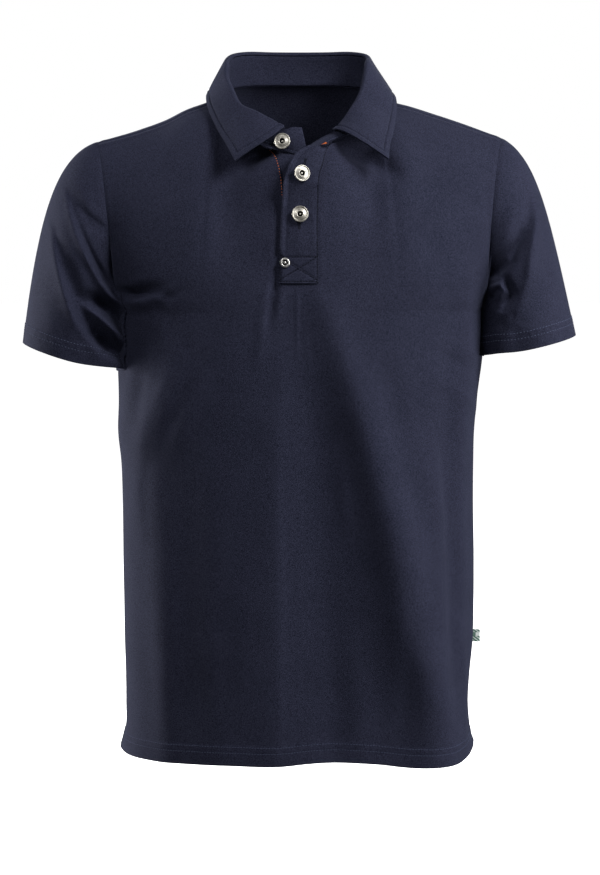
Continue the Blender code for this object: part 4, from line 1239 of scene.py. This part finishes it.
def near_share(grid, x, z):
    """The (across, up) share of a grid whose point is nearest a place in front view."""
    distance = np.hypot(grid[..., 0] - x, grid[..., 2] - z)
    row, column = np.unravel_index(int(np.argmin(distance)), distance.shape)
    return column / (grid.shape[1] - 1), row / (grid.shape[0] - 1)


def line_on(grid, start, end, count=25):
    """A straight line between two places in front view, laid on a grid."""
    ends = near_share(grid, *start), near_share(grid, *end)
    return on_grid(grid, np.linspace(*ends, count))


box_sides = (
    ((BOX_LEFT, BOX_FOOT), (BOX_RIGHT, BOX_FOOT)),
    ((BOX_LEFT, BOX_TOP), (BOX_RIGHT, BOX_TOP)),
    ((BOX_LEFT, BOX_FOOT), (BOX_LEFT, BOX_TOP)),
)
band_rows = [row_at(turned_grid(over_grid), OVER_STITCH_RIGHT)]
band_rows += [line_on(over_grid, *line) for line in box_sides + box_crosses]
stitches("band_stitching", dark_thread, band_rows, pitch=2.9, length=2.4, radius=0.4, sink=0.1)

slit_left = int(np.argmin(np.abs(front_shares + SLIT_SHARE)))
slit_rows = front_rises >= 1 + SLIT_FOOT
slit_edge = 0.75 * front_grid[slit_rows, slit_left] + 0.25 * front_grid[slit_rows, slit_left - 1]
slit_facing = grid_normals(front_grid)[slit_rows, slit_left - 1]
stitches("opening_stitching", orange_thread, [(slit_edge, slit_facing)],
         pitch=3.1, length=1.7, radius=0.3, sink=0.2)


def buttonhole(grid, foot, top, width=2.6, count=34):
    """Satin stitches laid across both sides of a slit between two places in front view."""
    rows = []
    points, normals = line_on(grid, foot, top, count)
    along = unit(points[-1] - points[0])
    for point, normal in zip(points, normals):
        side = unit(np.cross(along, normal))
        for hand in (-1, 1):
            inner, outer = point + side * hand * 0.25, point + side * hand * width / 2
            rows.append((np.array([inner, outer]), np.array([normal, normal])))
    for hand, end in ((-1, 0), (1, -1)):
        side = unit(np.cross(along, normals[end]))
        for shift in np.linspace(-0.9, 0.9, 7):
            start = points[end] + side * shift
            rows.append((np.array([start, start + along * hand * 1.1]), np.array([normals[end]] * 2)))
    return rows


band_holes = buttonhole(over_grid, (3.6, -90.0), (6.8, -73.0))
band_holes += buttonhole(over_grid, (0.6, -145.0), (0.6, -132.0))
stand_hole = buttonhole(collar_stand_grid, (16.0, -65.5), (30.0, -58.5))
for hole_name, hole_thread, hole_rows in (
    ("band_buttonholes", dark_thread, band_holes),
    ("stand_buttonhole", orange_thread, stand_hole),
):
    stitches(hole_name, hole_thread, hole_rows, pitch=1.0, length=1.25, radius=0.26, sink=0.1)


# The buttons are pressed shells of nickelled metal on a shank, tacked through the cloth, with a well in the
# middle painted dark as shade. A smaller ring stud is riveted through the foot of the band, its hollow ring
# painted dark as shade too.

# Radius and height above the foot, from the foot's edge over the rim to the middle.
BUTTON_PROFILE = (
    (3.2, 0.0),
    (3.2, 1.9),
    (4.2, 2.1),
    (6.8, 2.2),
    (8.3, 2.75),
    (8.6, 3.15),
    (8.55, 3.65),
    (8.25, 3.95),
    (7.75, 4.05),
    (7.4, 3.85),
    (7.2, 3.35),
    (6.8, 3.2),
    (6.3, 3.5),
    (4.0, 3.55),
    (3.75, 3.8),
    (3.3, 3.9),
    (2.9, 3.75),
    (2.6, 3.2),
    (2.5, 0.9),
    (1.15, 0.85),
    (1.1, 2.5),
    (0.8, 2.9),
    (0.4, 3.0),
)
STUD_PROFILE = (
    (5.1, 0.0),
    (5.25, 0.6),
    (5.0, 1.2),
    (4.4, 1.75),
    (3.7, 1.95),
    (3.2, 1.8),
    (2.9, 1.2),
    (2.8, 0.25),
    (1.45, 0.2),
    (1.4, 1.3),
    (1.0, 1.75),
    (0.5, 1.85),
)
# From which to which radius a trim's recess is painted dark, as painted shade.
BUTTON_PAINTED_SHADE = (1.1, 2.8)
STUD_PAINTED_SHADE = (1.42, 3.0)
FIRST_BUTTON_STATION = 2.0
FIRST_BUTTON_SHIFT = (-1.5, 0.0, -2.0)
FIRST_BUTTON_FACING = (-0.12, -0.97, 0.22)
BUTTON_LIFT = 1.4
# Share down the band, share across it, and lean to the right.
BAND_BUTTONS = {"button_2": (0.336, 0.43, 0.35), "button_3": (0.598, 0.5, 0.0)}
BUTTON_TIP_UP = 0.22
LEAN_LIFT = 3.4
STUD_SEAT = (0.14, 0.88)
STUD_LIFT = 0.9


def metal(name, dark, light, roughness):
    """A material of speckled and slightly clouded metal."""
    made, shader, _, place = new_look(name, roughness, 0.85)
    speckle = place.grain(2400.0)
    cloud = place.grain(320.0, detail=1.0)
    patina = 0.5 + (speckle - 0.5) * 2.2 + (cloud - 0.5) * 1.2
    patina.blend(dark, light).feed(shader, "Base Color")
    (roughness + (cloud - 0.5) * 0.25).feed(shader, "Roughness")
    speckle.raise_in(shader, 0.3, 0.0001)
    return made


button_metal = metal("button metal", (0.22, 0.205, 0.18), (0.52, 0.50, 0.45), 0.42)
stud_metal = metal("stud metal", (0.30, 0.29, 0.28), (0.64, 0.63, 0.61), 0.3)
# A dark metal painted into the hollows of the buttons and the stud, as their shade.
painted_well_shade = metal("painted_well_shade", (0.006, 0.006, 0.007), (0.02, 0.019, 0.018), 0.6)


def turned_piece(node, form, seat, facing, look):
    """A turned trim made from a disc that is drawn up and in through its profile, its recess painted dark as
    shade.
    """
    profile, shaded_radii = form
    start_radius = profile[0][0]
    bpy.ops.mesh.primitive_circle_add(vertices=48, radius=start_radius * MM, fill_type="NGON")
    piece = bpy.context.active_object
    piece.name = f"{node}_metal"
    bpy.ops.object.mode_set(mode="EDIT")
    bpy.ops.mesh.select_all(action="SELECT")
    for (radius, height), (next_radius, next_height) in zip(profile[:-1], profile[1:]):
        share = next_radius / radius
        bpy.ops.mesh.extrude_region_move()
        bpy.ops.transform.resize(value=(share, share, 1.0), center_override=(0.0, 0.0, height * MM))
        bpy.ops.transform.translate(value=(0.0, 0.0, (next_height - height) * MM))
    bpy.ops.mesh.select_all(action="SELECT")
    bpy.ops.mesh.normals_make_consistent(inside=False)
    bpy.ops.object.mode_set(mode="OBJECT")
    bpy.ops.object.shade_smooth_by_angle(angle=math.radians(55))
    piece.data.materials.append(look)
    piece.data.materials.append(painted_well_shade)
    # The faces in the recess take the dark metal: painted shade.
    for face in piece.data.polygons:
        if shaded_radii[0] < math.hypot(face.center.x, face.center.y) / MM < shaded_radii[1]:
            face.material_index = 1
    piece.location = Vector(seat) * MM
    piece.rotation_mode = "QUATERNION"
    piece.rotation_quaternion = Vector(facing).to_track_quat("Z", "Y")
    bpy.ops.object.transform_apply(location=True, rotation=True, scale=True)
    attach(piece, "root")
    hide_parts(node)


def over_band_point(across, down):
    """A place on the buttonhole band."""
    return over_band_grid(np.array([across]), [down])[0, 0]


button_form = BUTTON_PROFILE, BUTTON_PAINTED_SHADE
neck, top, _, out = (values[0] for values in stand_frame([FIRST_BUTTON_STATION]))
first_seat = (neck + top) / 2 + out * (SEAM_GAP + BUTTON_LIFT) + np.array(FIRST_BUTTON_SHIFT)
turned_piece("button_1", button_form, first_seat, FIRST_BUTTON_FACING, button_metal)
for button_name, (down, across, lean) in BAND_BUTTONS.items():
    seat = over_band_point(across, down) - np.array((0, SEAM_GAP + LEAN_LIFT * lean, 0))
    facing = (lean, -1.0, BUTTON_TIP_UP - lean * 0.2)
    turned_piece(button_name, button_form, seat, facing, button_metal)
stud_seat = over_band_point(*STUD_SEAT) - np.array((0, STUD_LIFT, 0))
turned_piece("corner_stud", (STUD_PROFILE, STUD_PAINTED_SHADE), stud_seat, (0, -1, 0.05), stud_metal)


# The side tab is a short printed ribbon of polyester, folded in half with its ends sewn into the right
# side seam. Its pattern is a plain one of green blocks and slanting bars.

TAB_LEVEL = (-588.5, -602.5)
TAB_REACH = 9.0
TAB_GAP = 0.8
TAB_TURN = 0.6
RIBBON_CLOTH = 0.3
TAB_DROOP = 3.0

ribbon, ribbon_shader, ribbon_lengths, ribbon_place = new_look("printed ribbon", 0.7)
ribbon_along, ribbon_up = ribbon_lengths.axes()
bars = (ribbon_up + ribbon_along * 0.7).wave(0.0034) > -0.5
blocks = (ribbon_up * (2 * math.pi / 0.0135) + 0.7).sine() > -0.6
sides = ribbon_along.wave(0.009) > 0.2
weave = ribbon_place.grain(2600.0, detail=1.0)
print_share = bars * blocks * 0.9 + (1.0 - blocks) * sides * 0.85 + (weave - 0.5) * 0.3
print_share.blend((0.56, 0.60, 0.58), (0.006, 0.085, 0.05)).feed(ribbon_shader, "Base Color")
weave.raise_in(ribbon_shader, 0.25, 0.0001)

tab_top, tab_foot = TAB_LEVEL
tab_reach = section((tab_top + tab_foot) / 2, np.array([1.0]), False)[0][0, 0] + SEAM_GAP
half_gap = TAB_GAP / 2
half_fold = [(0.0, -half_gap), (2.0, -half_gap - 0.1), (4.5, -half_gap - 0.2), (7.2, -half_gap - 0.1)]
for angle in np.radians((0, 30, 60, 90)):
    half_fold.append((TAB_REACH + TAB_TURN * (math.sin(angle) - 1), -half_gap * math.cos(angle)))
whole_fold = half_fold + [(x, -y) for x, y in reversed(half_fold[:-1])]
droop = math.tan(math.radians(TAB_DROOP))
tab_rows = []
for level in np.linspace(tab_foot, tab_top, 8):
    opens = 1 + 0.2 * math.sin(level)
    tab_rows.append([(tab_reach + x, y * opens, level - x * droop) for x, y in whole_fold])
tab_grid = np.array(tab_rows)
side_tab = cloth_piece("side_tab_ribbon", tab_grid, RIBBON_CLOTH, ribbon)
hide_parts("side_tab")


# A plain studio with a pale floor. A large soft lamp stands high in front at the right and a weak one at
# the left, one lamp lights each side and one the back, and the white surround adds a little all round.

FLOOR_LEVEL = -900.0
SURROUND_LIGHT = 0.10

world = bpy.data.worlds.new("Pale surround")
bpy.context.scene.world = world
world.use_nodes = True
surround = world.node_tree.nodes["Background"]
surround.inputs["Color"].default_value = (1.0, 1.0, 1.0, 1.0)
seen_white = world.node_tree.nodes.new("ShaderNodeLightPath")
brightness = world.node_tree.nodes.new("ShaderNodeMapRange")
brightness.inputs["To Min"].default_value = SURROUND_LIGHT
brightness.inputs["To Max"].default_value = 1.0
world.node_tree.links.new(seen_white.outputs["Is Camera Ray"], brightness.inputs["Value"])
world.node_tree.links.new(brightness.outputs["Result"], surround.inputs["Strength"])

bpy.ops.mesh.primitive_plane_add(size=30.0, location=(0.0, 0.0, FLOOR_LEVEL * MM))
floor = bpy.context.active_object
floor.name = "floor"
floor_look, floor_shader, _, _ = new_look("pale floor", 0.8)
floor_shader.inputs["Base Color"].default_value = (0.86, 0.86, 0.86, 1.0)
floor_shader.inputs["Emission Color"].default_value = (1.0, 1.0, 1.0, 1.0)
floor_shader.inputs["Emission Strength"].default_value = 0.95
floor.data.materials.append(floor_look)
floor.visible_diffuse = False
floor.visible_glossy = False


def lamp(name, place, target, size, power):
    """A soft rectangular lamp that points at a target."""
    light = bpy.data.lights.new(name, "AREA")
    light.shape = "RECTANGLE"
    light.size, light.size_y = size
    light.energy = power
    thing = bpy.data.objects.new(name, light)
    bpy.context.scene.collection.objects.link(thing)
    thing.location = place
    thing.rotation_euler = (Vector(target) - Vector(place)).to_track_quat("-Z", "Y").to_euler()


lamp("front lamp right", (1.7, -1.42, 1.5), (0.0, 0.0, -0.6), (1.0, 1.0), 98)
lamp("side lamp right", (2.13, -0.57, -0.3), (0.0, 0.0, -0.35), (0.8, 1.6), 52)
lamp("side lamp left", (-2.05, 0.62, -0.36), (0.0, 0.0, -0.35), (0.8, 1.0), 84)
lamp("front lamp left", (-0.85, -1.05, 0.78), (-0.1, 0.0, -0.3), (0.6, 0.6), 10)
lamp("back lamp", (0.4, 2.7, 0.6), (0.0, 0.0, -0.35), (1.4, 1.4), 45)

CAMERA_DISTANCE = 2.45
CAMERA_RISE = math.radians(6.0)
CAMERA_TARGET = Vector((0.0011, 0.0, -0.37494))
CAMERA_LENS = 91.63625
camera_data = bpy.data.cameras.new("camera")
camera = bpy.data.objects.new("camera", camera_data)
bpy.context.scene.collection.objects.link(camera)
camera_way = Vector((0.0, -math.cos(CAMERA_RISE), math.sin(CAMERA_RISE)))
camera.location = CAMERA_TARGET + CAMERA_DISTANCE * camera_way
camera.rotation_euler = (math.pi / 2 - CAMERA_RISE, 0.0, 0.0)
camera_data.sensor_fit = "VERTICAL"
camera_data.sensor_height = 36.0
camera_data.lens = CAMERA_LENS
camera_data.clip_end = 60.0
bpy.context.scene.camera = camera
bpy.context.scene.view_settings.view_transform = "Standard"
